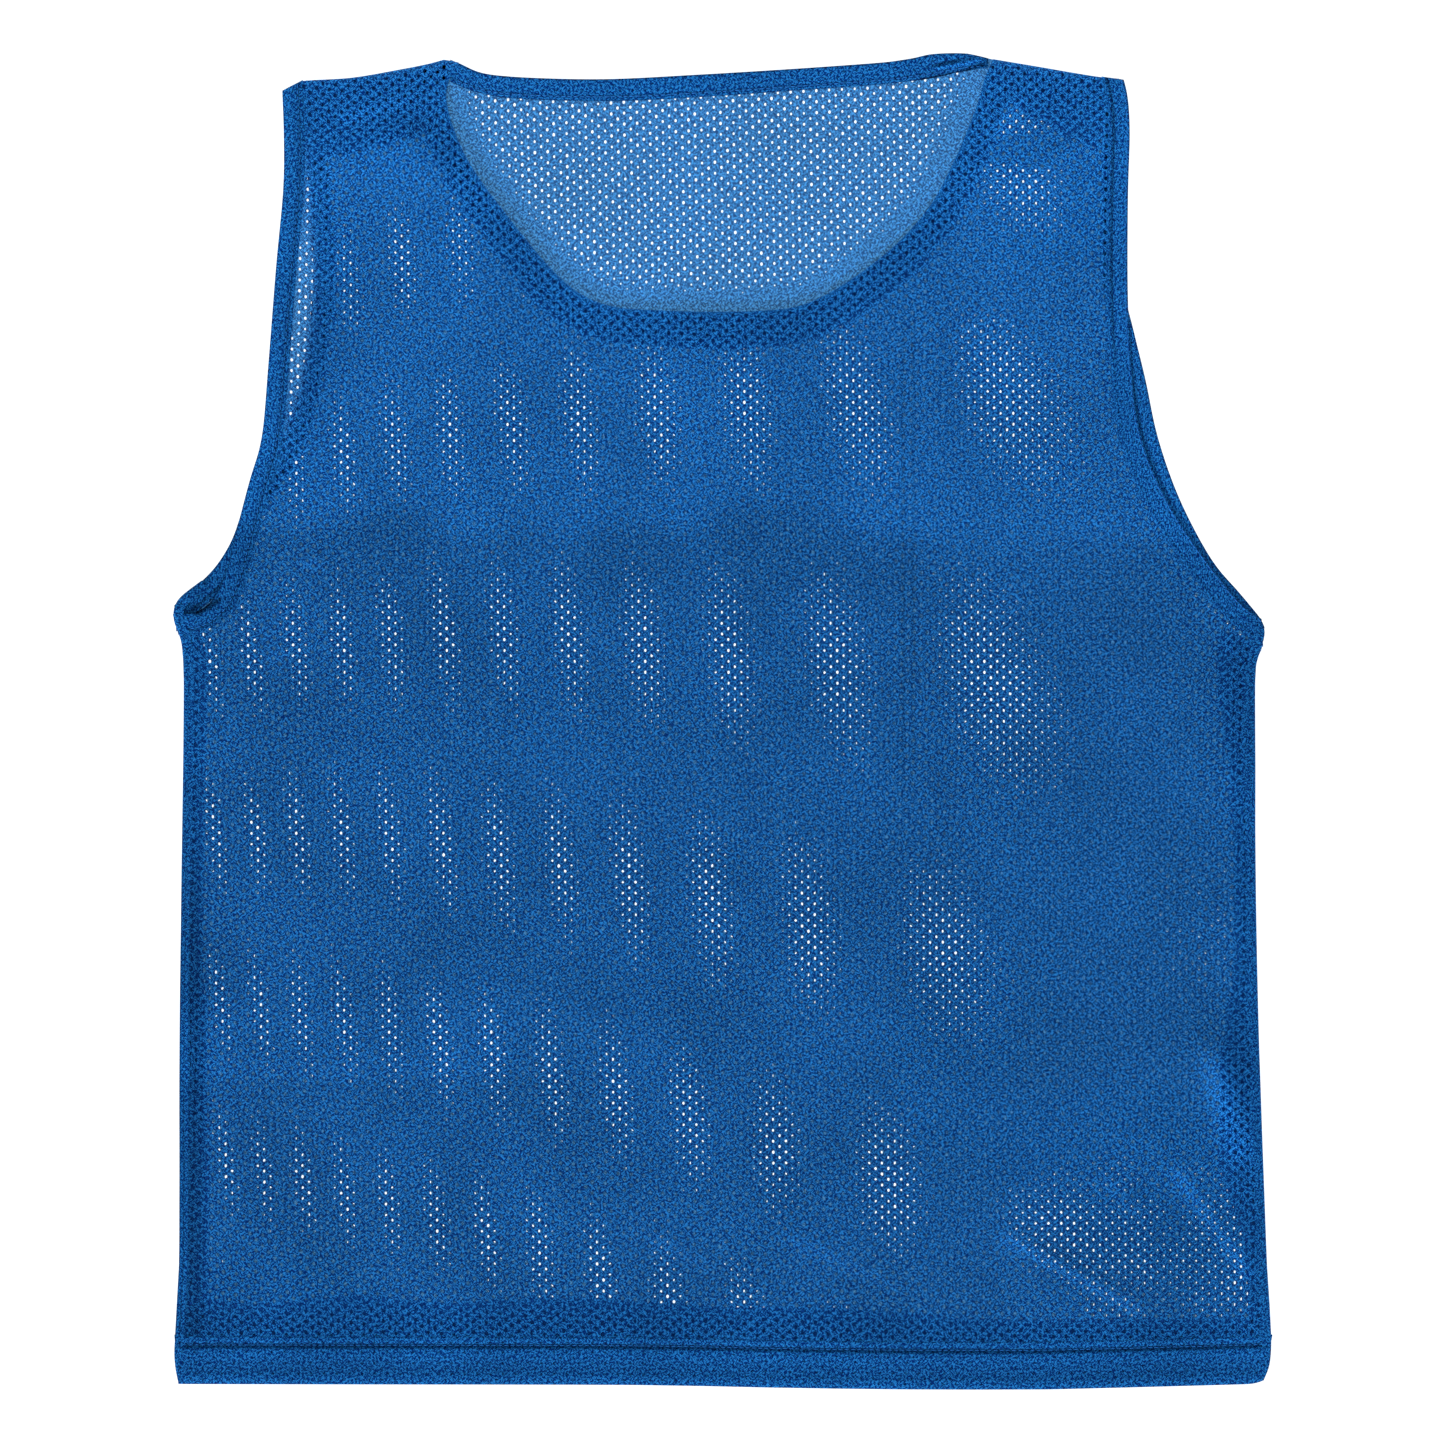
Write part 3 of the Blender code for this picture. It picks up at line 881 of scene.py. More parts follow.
def from_crease(crease, x, y):
    """The points' distances along a crease and to its left, its length and its unit vector."""
    start_x, start_y, end_x, end_y = crease[:4]
    length = math.hypot(end_x - start_x, end_y - start_y)
    unit_x, unit_y = (end_x - start_x) / length, (end_y - start_y) / length
    along = (x - start_x) * unit_x + (y - start_y) * unit_y
    aside = (y - start_y) * unit_x - (x - start_x) * unit_y
    return along, aside, length, unit_x, unit_y


def crease_shape(creases, x, y, column):
    """What the creases add to the cloth, by the column that holds it."""
    total = np.zeros_like(x)
    for crease in creases:
        along, aside, length, _, _ = from_crease(crease, x, y)
        width = crease[CREASE_WIDTH]
        fade = CREASE_FADE * width
        ends = ease(along / fade) * ease((length - along) / fade)
        round_across = 0.5 * (1 + np.cos(np.pi * np.minimum(np.abs(aside) / width, 1.0)))
        total += crease[column] * ends * round_across
    return total


class Heights:
    """The height of one layer of cloth anywhere, read from the upper side of its CAD pieces."""

    def __init__(self, nodes, sink, creases=()):
        points, faces = [], []
        for node in nodes:
            bm = upper_sheet(node)
            first = len(points)
            bm.verts.index_update()
            points += [v.co.copy() for v in bm.verts]
            faces += [[first + v.index for v in f.verts] for f in bm.faces]
            bm.free()
        tree = BVHTree.FromPolygons(points, faces)
        top = max(p.z for p in points) + 1
        low, high = (np.array(corner[:2]) / MM for corner in CAD_BOX)
        self.low = low - HEIGHT_MARGIN
        self.shape = np.ceil((high + HEIGHT_MARGIN - self.low) / HEIGHT_STEP).astype(int) + 1
        grid = np.zeros(self.shape)
        for i in range(self.shape[0]):
            for j in range(self.shape[1]):
                x, y = self.low + HEIGHT_STEP * np.array((i, j))
                hit = tree.ray_cast(Vector((x, y, top)), Vector((0, 0, -1)))[0]
                if hit is None:
                    hit = tree.find_nearest(Vector((x, y, top)))[0]
                grid[i, j] = hit.z
        for _ in range(HEIGHT_BLUR):
            padded = np.pad(grid, 1, mode="edge")
            grid = (padded[:-2, 1:-1] + 2 * grid + padded[2:, 1:-1]) / 4
            padded = np.pad(grid, 1, mode="edge")
            grid = (padded[1:-1, :-2] + 2 * grid + padded[1:-1, 2:]) / 4
        self.grid = grid - sink
        self.creases = creases

    def __call__(self, x, y):
        x, y = np.asarray(x, float), np.asarray(y, float)
        u, v = (x - self.low[0]) / HEIGHT_STEP, (y - self.low[1]) / HEIGHT_STEP
        i, j = (
            np.clip(place, 0, count - 2).astype(int) for place, count in zip((u, v), self.shape)
        )
        a, b = np.clip(u - i, 0, 1), np.clip(v - j, 0, 1)
        g = self.grid
        near = g[i, j] * (1 - a) + g[i + 1, j] * a
        far = g[i, j + 1] * (1 - a) + g[i + 1, j + 1] * a
        between = near * (1 - b) + far * b
        return between + crease_shape(self.creases, x, y, CREASE_RISE)


FRONT = Heights(
    (
        "front_panel",
        "front_hem",
        "armhole_binding_left_front",
        "armhole_binding_right_front",
    ),
    FRONT_SINK,
    FRONT_CREASES,
)
BACK = Heights(
    (
        "back_panel",
        "back_hem",
        "armhole_binding_left_back",
        "armhole_binding_right_back",
    ),
    BACK_SINK,
)
NECK_BAND = Heights(("neck_binding_back",), NECK_SINK, NECK_CREASES)
TURNED_BAND = Heights(("neck_binding_front",), NECK_SINK)


def part_way(share, x, y):
    """A height between the back's cloth (share 0) and the front's (share 1)."""
    return (1 - share) * BACK(x, y) + share * FRONT(x, y)


def new_piece(name, points, faces, cloth, material, **paint):
    """A piece from points and their places on the cloth, both in millimetres, and its faces.

    The paint names values for each point, such as its Tone: the painted light and shade that make
    the cloth lighter or darker there.
    """
    old = bpy.data.objects.get(name)
    if old:
        bpy.data.objects.remove(old)
    mesh = bpy.data.meshes.new(name)
    mesh.from_pydata((np.asarray(points) * MM).tolist(), [], faces)
    layer = mesh.uv_layers.new(name="Cloth")
    corners = np.empty(len(mesh.loops), dtype=np.int64)
    mesh.loops.foreach_get("vertex_index", corners)
    layer.data.foreach_set("uv", (np.asarray(cloth) * MM)[corners].ravel())
    for kind, values in paint.items():
        painted = mesh.attributes.new(kind, "FLOAT", "POINT")
        painted.data.foreach_set("value", np.asarray(values, np.float32))
    mesh.materials.append(material)
    mesh.shade_smooth()
    mesh.validate()
    piece = bpy.data.objects.new(name, mesh)
    bpy.context.scene.collection.objects.link(piece)
    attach(piece, "root")
    return piece


def inside(outline, x, y):
    """Which of the points lie inside the outline."""
    within = np.zeros(len(x), dtype=bool)
    for (ax, ay), (bx, by) in zip(outline, np.roll(outline, -1, axis=0)):
        if ay != by:
            passes = (ay > y) != (by > y)
            within ^= passes & (x < ax + (bx - ax) * (y - ay) / (by - ay))
    return within


def nearest_on(path, x, y, closed=True):
    """The nearest place on the path to each of the points, and how far it is."""
    best = np.full(len(x), np.inf)
    near_x, near_y = np.array(x, float), np.array(y, float)
    ends = np.roll(path, -1, axis=0) if closed else path[1:]
    for (ax, ay), (bx, by) in zip(path, ends):
        run_x, run_y = bx - ax, by - ay
        share = ((x - ax) * run_x + (y - ay) * run_y) / max(run_x**2 + run_y**2, 1e-9)
        share = np.clip(share, 0.0, 1.0)
        px, py = ax + share * run_x, ay + share * run_y
        distance = np.hypot(x - px, y - py)
        closer = distance < best
        best[closer] = distance[closer]
        near_x[closer] = px[closer]
        near_y[closer] = py[closer]
    return near_x, near_y, best


# How far a crease pulls the cloth towards it, for each millimetre that it rises, over what distance
# this fades, and over how many half widths beyond its ends
PULL = 0.85
PULL_REACH = 16.0
PULL_FADE = 2.0

# How far the back's net lies to the right of the front's, and above it, in half pitches. Each is a
# sum of terms: factor, power of the place across, power of the height. The courses of the back rise
# to the right and those of the front fall, mostly on the left of the bib, and the columns lean
# apart from the hem to the shoulders
COLUMN_TERMS = (
    (0.28, 0, 0),
    (-0.29, 1, 0),
    (0.24, 3, 0),
    (-2.35, 0, 1),
    (0.76, 1, 1),
    (-0.25, 2, 1),
    (-0.38, 0, 3),
)
COURSE_TERMS = (
    (-0.32, 0, 0),
    (11.0, 1, 0),
    (-6.1, 2, 0),
    (0.47, 3, 0),
    (1.5, 0, 1),
    (-1.07, 1, 1),
    (1.62, 2, 1),
    (0.23, 0, 2),
    (0.79, 1, 2),
)


def net_shift(x, y, column_pitch, course_pitch):
    """How far the back's net lies to the right of the front's, and above it."""
    x, y = x / NET_REACH_X, y / NET_REACH_Y
    columns, courses = (
        sum(factor * x**across * y**up for factor, across, up in terms)
        for terms in (COLUMN_TERMS, COURSE_TERMS)
    )
    return columns * column_pitch / 2, courses * course_pitch / 2


def gathered(creases, x, y):
    """How far the cloth on both sides of a crease is pulled towards it, across and along."""
    right, up = np.zeros_like(x), np.zeros_like(x)
    for crease in creases:
        width, rise = crease[CREASE_WIDTH], crease[CREASE_RISE]
        along, aside, length, unit_x, unit_y = from_crease(crease, x, y)
        fade = PULL_FADE * width
        ends = ease(along / fade + 1) * ease((length - along) / fade + 1)
        pull = -PULL * rise * ends * np.tanh(aside / width) * np.exp(-np.abs(aside) / PULL_REACH)
        right -= pull * unit_y
        up += pull * unit_x
    return right, up


# How many times a place in the drawn cloth is worked out from the last, until it no longer changes
DRAW_PASSES = 8


def drawn(x, y, share, creases, column_pitch, course_pitch):
    """Where points of the even net come to lie in the cloth, which is drawn out of true."""
    place_x, place_y = x, y
    for _ in range(DRAW_PASSES):
        right, up = net_shift(place_x, place_y, column_pitch, course_pitch)
        pulled_x, pulled_y = gathered(creases, place_x, place_y)
        place_x, place_y = x + share * right + pulled_x, y + share * up + pulled_y
    return place_x, place_y


def from_neckline(x, y):
    """How far the points are from the front's neckline."""
    neckline = edge_between("front_panel", NECK_LEFT, NECK_MIDDLE, NECK_RIGHT)
    return nearest_on(neckline, x, y, closed=False)[2]


def uneven(count):
    """Random shares near 1, the same at each run, by which the holes of a net differ."""
    return np.random.default_rng(HOLE_SEED).uniform(*HOLE_SHARES, count)


# From what share of its size on a patch fades out, and the same where the front's Thin changes
PATCH_CORE = 0.6
THIN_CORE = 0.3


def from_patch(patch, x, y):
    """How far the points are from a patch's middle, as a share of its half width and height."""
    middle_x, middle_y, half_width, half_height, _ = patch
    return np.hypot((x - middle_x) / half_width, (y - middle_y) / half_height)


def open_by(patch, x, y):
    """How far a patch lets holes be open: its least share in it, and 1 beyond it."""
    least = patch[-1]
    return least + (1 - least) * ease((from_patch(patch, x, y) - PATCH_CORE) / (1 - PATCH_CORE))


def back_open(x, y):
    """How far the back's holes are open: they close near the front's neckline and where slack."""
    from_closed = from_neckline(x, y) - CLOSED_WITHIN
    opened = uneven(len(x)) * ease(from_closed / (OPEN_BEYOND - CLOSED_WITHIN))
    for patch in SLACK_PATCHES:
        opened = opened * open_by(patch, x, y)
    return opened


def front_open(x, y):
    """How far the front's holes are open: less beside the left armhole, where it lies alone."""
    return uneven(len(x)) * open_by(ARMHOLE_PATCH, x, y)


def back_paint(x, y):
    """The back lets much light through, and carries painted light beside the neckline, where its
    holes close and the front's edge shades it.
    """
    by_neckline = 1 - ease((from_neckline(x, y) - CLOSED_WITHIN) / OPEN_BEYOND)
    return {"Tone": 1 + NECKLINE_LIGHT * by_neckline, "Thin": np.ones_like(x)}


def front_paint(x, y):
    """The front carries painted light and shade on its creases, painted light at the shoulders, and
    painted shade at its left side.

    It lets little light through but beside the left armhole, where it lies alone.
    """
    low, high = SHOULDERS_FROM
    side = ease(2 * (SIDE_LEFT_MIDDLE[0] + SIDE_SHADE_WIDTH - x) / SIDE_SHADE_WIDTH)
    side = side * ease((SIDE_LEFT_MIDDLE[1] + SIDE_SHADE_FADE - y) / SIDE_SHADE_FADE)
    tone = (
        1
        + crease_shape(FRONT_CREASES, x, y, CREASE_PAINTED_LIGHT)
        + SHOULDER_LIGHT * ease((y - low) / (high - low))
        - SIDE_SHADE * side
    )
    beyond = ease((from_patch(ARMHOLE_PATCH, x, y) - THIN_CORE) / THIN_CORE)
    return {"Tone": tone, "Thin": 1 - (1 - FRONT_THIN) * beyond}


# Angles of a hole's six corners, from its right side round, how near a hole may be to an edge, and
# how far the even net is made, as a share of the CAD box's own reach
HOLE_ANGLES = (30.0, 90.0, 150.0, 210.0, 270.0, 330.0)
HOLE_EDGE_CLEARANCE = 0.5
NET_SPREAD = 1.3


def net_panel(context, name, node, heights, share, hole, openness, paint):
    """A panel of knitted net inside the CAD panel's outline, with each hole open."""
    sizes = context.scene.bib_mesh
    column, course = sizes.column_pitch / MM, sizes.course_pitch / MM
    outline = outline_of(node)
    reach = int(NET_SPREAD * max(CAD_BOX[1][:2]) / MM / min(column, course) * 2)
    steps = np.arange(-reach, reach + 1)
    i, j = np.meshgrid(steps, steps, indexing="ij")
    pitches = (column, course)
    creases = heights.creases
    corner_x, corner_y = drawn(i * column / 2, j * course / 2, share, creases, *pitches)
    is_corner = (i + j) % 2 != 0
    flat = is_corner.ravel()
    within = np.zeros(flat.size, dtype=bool)
    within[flat] = inside(outline, corner_x.ravel()[flat], corner_y.ravel()[flat])
    within = within.reshape(i.shape)

    centre = (i % 2 == j % 2)[1:-1, 1:-1]
    right, left = within[2:, 1:-1], within[:-2, 1:-1]
    top, bottom = within[1:-1, 2:], within[1:-1, :-2]
    kept = centre & (right | left | top | bottom)
    ci, cj = (index + 1 for index in np.nonzero(kept))
    cells = np.stack(
        [
            np.ravel_multi_index((ci + di, cj + dj), i.shape)
            for di, dj in ((1, 0), (0, 1), (-1, 0), (0, -1))
        ],
        axis=1,
    )
    used, cells = np.unique(cells, return_inverse=True)
    cells = cells.reshape(-1, 4)
    x, y = corner_x.ravel()[used], corner_y.ravel()[used]
    cloth = np.column_stack([(i * column / 2).ravel()[used], (j * course / 2).ravel()[used]])
    outside = ~within.ravel()[used]
    x[outside], y[outside], _ = nearest_on(outline, x[outside], y[outside])

    angles = np.radians(HOLE_ANGLES)
    cell_x = i[ci, cj] * column / 2
    cell_y = j[ci, cj] * course / 2
    centre_x, centre_y = drawn(cell_x, cell_y, share, creases, *pitches)
    opened = openness(centre_x, centre_y)
    half_width, half_height = (opened[:, None] * size / MM / 2 for size in hole)
    ring_cloth_x = cell_x[:, None] + half_width * np.cos(angles)
    ring_cloth_y = cell_y[:, None] + half_height * np.sin(angles)
    ring_x, ring_y = drawn(ring_cloth_x, ring_cloth_y, share, creases, *pitches)
    ring_inside = inside(outline, ring_x.ravel(), ring_y.ravel()).reshape(ring_x.shape).all(axis=1)
    clear = nearest_on(outline, centre_x, centre_y)[2]
    holed = ring_inside & (clear > HOLE_EDGE_CLEARANCE + hole[1] / MM / 2)
    holed &= opened > SMALLEST_HOLE

    first = len(x) + len(HOLE_ANGLES) * np.arange(holed.sum())
    x = np.concatenate([x, ring_x[holed].ravel()])
    y = np.concatenate([y, ring_y[holed].ravel()])
    ring_cloth = np.column_stack([ring_cloth_x[holed].ravel(), ring_cloth_y[holed].ravel()])
    cloth = np.concatenate([cloth, ring_cloth])
    faces = []
    for (e, n, w, s), a in zip(cells[holed].tolist(), first.tolist()):
        faces += (
            (e, n, a + 1, a),
            (n, w, a + 2, a + 1),
            (w, a + 3, a + 2),
            (w, s, a + 4, a + 3),
            (s, e, a + 5, a + 4),
            (e, a, a + 5),
        )
    faces += [tuple(cell) for cell in cells[~holed].tolist()]
    points = np.column_stack([x, y, heights(x, y)])
    material = material_named(context, EYELET_MESH)
    return new_piece(name, points, faces, cloth, material, **paint(x, y))


def declare_panel(node):
    """Hides the CAD panel that a net panel was built from."""
    outline = outline_of(node)
    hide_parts(node)


def finer(section):
    """A cross-section with points added, so that none are further apart than the section step."""
    section = np.array(section)
    steps = np.hypot(*np.diff(section[:, :2], axis=0).T)
    along = np.concatenate(([0.0], np.cumsum(steps)))
    wanted = [along[0]]
    for start, end in zip(along, along[1:]):
        count = max(1, math.ceil((end - start) / SECTION_STEP))
        wanted += list(np.linspace(start, end, count + 1)[1:])
    return np.column_stack([np.interp(wanted, along, column) for column in section.T])


# The least height of a strip's cloth over the table
LOWEST = 0.1


def sheet_of_rows(name, rows, material, tones=1.0):
    """A narrow sheet of cloth from rows of points that run along it, its places on the cloth
    measured along and across the rows.

    The tones say how light the cloth is, as painted light and shade: one value, or one for each
    point of each row.
    """
    rows = np.array(rows)
    rows[:, :, 2] = np.maximum(rows[:, :, 2], LOWEST)
    count = rows.shape[1]
    middle = rows[len(rows) // 2]
    steps = np.linalg.norm(np.diff(middle, axis=0), axis=1)
    along = np.concatenate(([0.0], np.cumsum(steps)))
    gaps = np.linalg.norm(np.diff(rows, axis=0), axis=2).mean(axis=1)
    across = np.concatenate(([0.0], np.cumsum(gaps)))
    cloth = np.concatenate([np.column_stack([along, np.full(count, a)]) for a in across])
    faces = []
    for row in range(len(rows) - 1):
        for k in range(count - 1):
            a = row * count + k
            faces.append((a, a + 1, a + count + 1, a + count))
    tones = np.broadcast_to(tones, rows.shape[:2]).ravel()
    piece = new_piece(name, rows.reshape(-1, 3), faces, cloth, material, Tone=tones)
    if sum(face.normal.z * face.area for face in piece.data.polygons) < 0:
        piece.data.flip_normals()
    return piece


# The painted shade and light of the right armhole's seam start at this height and fade in over this
# distance above it. The ends of a strip are tucked under over this length, by this depth. The tones
# have limits
SEAM_FROM = 165.0
SEAM_FADE = 40.0
TUCK_LENGTH = 3.0
TUCK_DEPTH = 0.7
TONE_LIMITS = (0.15, 2.0)


def run_on(path, length):
    """A path that runs straight on at both ends by a length."""
    start, end = path[0] - path[1], path[-1] - path[-2]
    start, end = (length * run / math.hypot(*run) for run in (start, end))
    return np.concatenate([[path[0] + start], path, [path[-1] + end]])


def strip(
    context,
    name,
    node,
    outside,
    width,
    section,
    heights,
    folded=False,
    seam_from=None,
    longer=0.0,
):
    """A doubled strip along its CAD piece's long edges, with the section across it.

    A folded one takes the seam allowances' painted shade. With seam_from, the painted shade and
    light of its seam don't show below that height and fade in above it. Both of its ends may run on,
    longer than the CAD piece.
    """
    outer, inner = long_edges(node, outside)
    if longer:
        outer, inner = run_on(outer, longer), run_on(inner, longer)
    along = np.linspace(0.0, length_of(outer), len(outer))
    tuck = TUCK_DEPTH * (1 - ease(np.minimum(along, along[-1] - along) / TUCK_LENGTH))
    rows, tones = [], []
    # Each row's tone is painted light and shade, from the section and from the creases' painted
    # light
    for across, rise, tone in finer(section):
        place = outer + (inner - outer) * across / width
        height = heights(place[:, 0], place[:, 1]) + rise - tuck
        rows.append(np.column_stack([place, height]))
        if seam_from is not None and across > width / 2:
            tone = 1 + (tone - 1) * ease((place[:, 1] - seam_from) / SEAM_FADE)
        tones.append(tone + crease_shape(heights.creases, *place.T, CREASE_PAINTED_LIGHT))
    material = material_named(context, SHADED_FOLDED_KNIT if folded else DOUBLED_KNIT)
    piece = sheet_of_rows(name, rows, material, np.clip(tones, *TONE_LIMITS))
    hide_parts(node)
    return piece


def beside(path, towards, distance):
    """A path moved sideways by a distance, to the side on which a place lies."""
    run = np.gradient(path, axis=0)
    side = np.column_stack([-run[:, 1], run[:, 0]])
    side /= np.hypot(*side.T)[:, None]
    middle = len(path) // 2
    if ((np.array(towards) - path[middle]) * side[middle]).sum() < 0:
        side = -side
    return path + side * np.reshape(distance, (-1, 1))


def even_steps(path):
    return evenly(path, step_count(path))


def rolled_edge(context, name, path, raised=0.0):
    """Cloth that is rolled over an edge of the bib, from the front to the back."""
    path = even_steps(np.array(path))
    rows = []
    for inward, share, lift in SIDE_ROLL:
        place = beside(path, NECK_OPENING, inward)
        height = part_way(share, place[:, 0], place[:, 1]) + lift + share * raised
        rows.append(np.column_stack([place, height]))
    sheet_of_rows(name, rows, material_named(context, DOUBLED_KNIT))


def allowance(context, name, edge, towards, depths):
    """A plain seam allowance in painted shade that lies between front and back along an edge of the
    front.
    """
    path = even_steps(edge_between("front_panel", *edge))
    depth = np.interp(np.linspace(0.0, 1.0, len(path)), *zip(*depths))
    outline = outline_of("front_panel")
    rows = []
    for share in ALLOWANCE_ROWS:
        x, y = beside(path, towards, share * depth).T
        outside = ~inside(outline, x, y)
        x[outside], y[outside], _ = nearest_on(outline, x[outside], y[outside])
        rows.append(np.column_stack([x, y, part_way(ALLOWANCE_HEIGHT, x, y)]))
    material = material_named(context, SHADED_FOLDED_KNIT)
    tones = np.reshape(ALLOWANCE_TONES, (-1, 1))
    sheet_of_rows(name, rows, material, tones)


# Rows of stitches: distance in from the strip's outer edge, height over its cloth
HEM_STITCHES = (19.8, -0.35)
LEFT_ARM_STITCHES = (7.7, -0.15)
RIGHT_ARM_STITCHES = (1.3, 0.15)
NECK_STITCHES = (9.0, 0.0)

# One stitch: places along it and the thread's thickness there, as shares of length and width
STITCH_RINGS = ((-0.5, 0.3), (-0.3, 0.9), (0.0, 1.0), (0.3, 0.9), (0.5, 0.3))
STITCH_SIDES = 6


def stitches(context, name, seams):
    """Rows of stitches along seams, joined in one piece. A seam is a path and its heights."""
    trim = context.scene.bib_trim
    step = (trim.stitch_length + trim.stitch_gap) / MM
    radius = trim.thread_width / MM / 2
    points, faces = [], []
    for path, heights, lift in seams:
        count = round(length_of(path) / step)
        marks = evenly(path, 2 * count)
        middles = marks[1::2]
        run = marks[2::2] - marks[:-1:2]
        run /= np.hypot(*run.T)[:, None]
        for (x, y), (run_x, run_y) in zip(middles, run):
            base = float(heights(x, y)) + lift
            first = len(points)
            for along, thickness in STITCH_RINGS:
                far = along * trim.stitch_length / MM
                for corner in range(STITCH_SIDES):
                    angle = math.tau * corner / STITCH_SIDES
                    out = radius * thickness * math.cos(angle)
                    up = radius * thickness * math.sin(angle)
                    points.append(
                        (x + far * run_x - out * run_y, y + far * run_y + out * run_x, base + up)
                    )
            for ring in range(len(STITCH_RINGS) - 1):
                for corner in range(STITCH_SIDES):
                    a = first + ring * STITCH_SIDES + corner
                    b = first + ring * STITCH_SIDES + (corner + 1) % STITCH_SIDES
                    faces.append((a, b, b + STITCH_SIDES, a + STITCH_SIDES))
    points = np.array(points)
    material = material_named(context, SEWING_THREAD)
    piece = new_piece(name, points, faces, points[:, :2], material)


def seam_along(node, outside, width, heights, row):
    """A row of stitches that runs along a strip, by its distance in from the outer edge."""
    inset, lift = row
    outer, inner = long_edges(node, outside)
    return outer + (inner - outer) * inset / width, heights, lift


class BIB_OT_back_panel(bpy.types.Operator):
    """Adds the back panel, a knitted net that lies on the table"""

    bl_idname = "bib.back_panel"
    bl_label = "Back panel"

    def execute(self, context):
        hole = context.scene.bib_mesh.back_hole
        piece = net_panel(
            context, "back_mesh", "back_panel", BACK, 0.5, hole, back_open, back_paint
        )
        declare_panel("back_panel")
        return {"FINISHED"}


class BIB_OT_front_panel(bpy.types.Operator):
    """Adds the front panel, a knitted net that lies on the back panel"""

    bl_idname = "bib.front_panel"
    bl_label = "Front panel"

    def execute(self, context):
        hole = context.scene.bib_mesh.front_hole
        piece = net_panel(
            context, "front_mesh", "front_panel", FRONT, -0.5, hole, front_open, front_paint
        )
        declare_panel("front_panel")
        return {"FINISHED"}


class BIB_OT_neck_binding(bpy.types.Operator):
    """Adds the doubled strip of the neck: its stretch behind the neck and the one turned under"""

    bl_idname = "bib.neck_binding"
    bl_label = "Neck binding"

    def execute(self, context):
        strip(
            context,
            "neck_band_back",
            "neck_binding_back",
            ABOVE,
            NECK_BINDING,
            NECK_SECTION,
            NECK_BAND,
            longer=NECK_RUN_ON,
        )
        strip(
            context,
            "neck_band_front",
            "neck_binding_front",
            NECK_OPENING,
            TURNED_BINDING,
            TURNED_SECTION,
            TURNED_BAND,
            folded=True,
        )
        return {"FINISHED"}


class BIB_OT_armhole_bindings(bpy.types.Operator):
    """Adds the four stretches of the doubled strips that bind the armholes"""

    bl_idname = "bib.armhole_bindings"
    bl_label = "Armhole bindings"

    def execute(self, context):
        for side, outside in (("left", LEFT_OUTSIDE), ("right", RIGHT_OUTSIDE)):
            for layer, heights in (("back", BACK), ("front", FRONT)):
                strip(
                    context,
                    f"arm_band_{side}_{layer}",
                    f"armhole_binding_{side}_{layer}",
                    outside,
                    ARM_BINDING,
                    BINDING_SECTION,
                    heights,
                    seam_from=SEAM_FROM if side == "right" else None,
                )
        return {"FINISHED"}


class BIB_OT_hems(bpy.types.Operator):
    """Adds the turned-up hems of the front and the back"""

    bl_idname = "bib.hems"
    bl_label = "Hems"

    def execute(self, context):
        for layer, heights in (("back", BACK), ("front", FRONT)):
            strip(
                context,
                f"hem_{layer}",
                f"{layer}_hem",
                BELOW,
                HEM_DEPTH,
                HEM_SECTION,
                heights,
            )
        return {"FINISHED"}


class BIB_OT_seams(bpy.types.Operator):
    """Adds the rolled side seams and the plain seam allowances between front and back"""

    bl_idname = "bib.seams"
    bl_label = "Seams"

    def execute(self, context):
        left = (UNDERARM_LEFT, SIDE_LEFT_MIDDLE, HEM_LEFT)
        right = (UNDERARM_RIGHT, SIDE_RIGHT_MIDDLE, HEM_RIGHT)
        for side, edge, hem_end, tip in (
            ("left", left, HEM_END_LEFT, TIP_LEFT),
            ("right", right, HEM_END_RIGHT, TIP_RIGHT),
        ):
            path = np.concatenate([edge_between("front_panel", *edge), hem_end])
            rolled_edge(context, f"side_seam_{side}", path)
            rolled_edge(context, f"underarm_tip_{side}", tip, TIP_RAISED)
        shoulder_left = (SHOULDER_LEFT, SHOULDER_LEFT_MIDDLE, NECK_LEFT)
        shoulder_right = (NECK_RIGHT, SHOULDER_RIGHT_MIDDLE, SHOULDER_RIGHT)
        allowances = (
            ("side_left", left, NECK_MIDDLE, SIDE_DEPTHS_LEFT),
            ("side_right", right, NECK_MIDDLE, SIDE_DEPTHS_RIGHT),
            ("hem", (HEM_LEFT, HEM_MIDDLE, HEM_RIGHT), NECK_MIDDLE, HEM_DEPTHS),
            ("shoulder_left", shoulder_left, BELOW, SHOULDER_DEPTHS_LEFT),
            ("shoulder_right", shoulder_right, BELOW, SHOULDER_DEPTHS_RIGHT),
            ("neck", (NECK_LEFT, NECK_MIDDLE, NECK_RIGHT), BELOW, NECK_DEPTHS),
        )
        for name, edge, towards, depths in allowances:
            allowance(context, f"allowance_{name}", edge, towards, depths)
        return {"FINISHED"}


class BIB_OT_stitches(bpy.types.Operator):
    """Adds the rows of stitches that hold the hems and the bindings"""

    bl_idname = "bib.stitches"
    bl_label = "Stitches"

    def execute(self, context):
        hems = [
            seam_along(f"{layer}_hem", BELOW, HEM_DEPTH, heights, HEM_STITCHES)
            for layer, heights in (("front", FRONT), ("back", BACK))
        ]
        armholes = [
            seam_along(f"armhole_binding_{side}_front", outside, ARM_BINDING, FRONT, row)
            for side, outside, row in (
                ("left", LEFT_OUTSIDE, LEFT_ARM_STITCHES),
                ("right", RIGHT_OUTSIDE, RIGHT_ARM_STITCHES),
            )
        ]
        neck = [seam_along("neck_binding_back", ABOVE, NECK_BINDING, NECK_BAND, NECK_STITCHES)]
        stitches(context, "hem_stitches", hems)
        stitches(context, "armhole_stitches", armholes)
        stitches(context, "neck_stitches", neck)
        return {"FINISHED"}


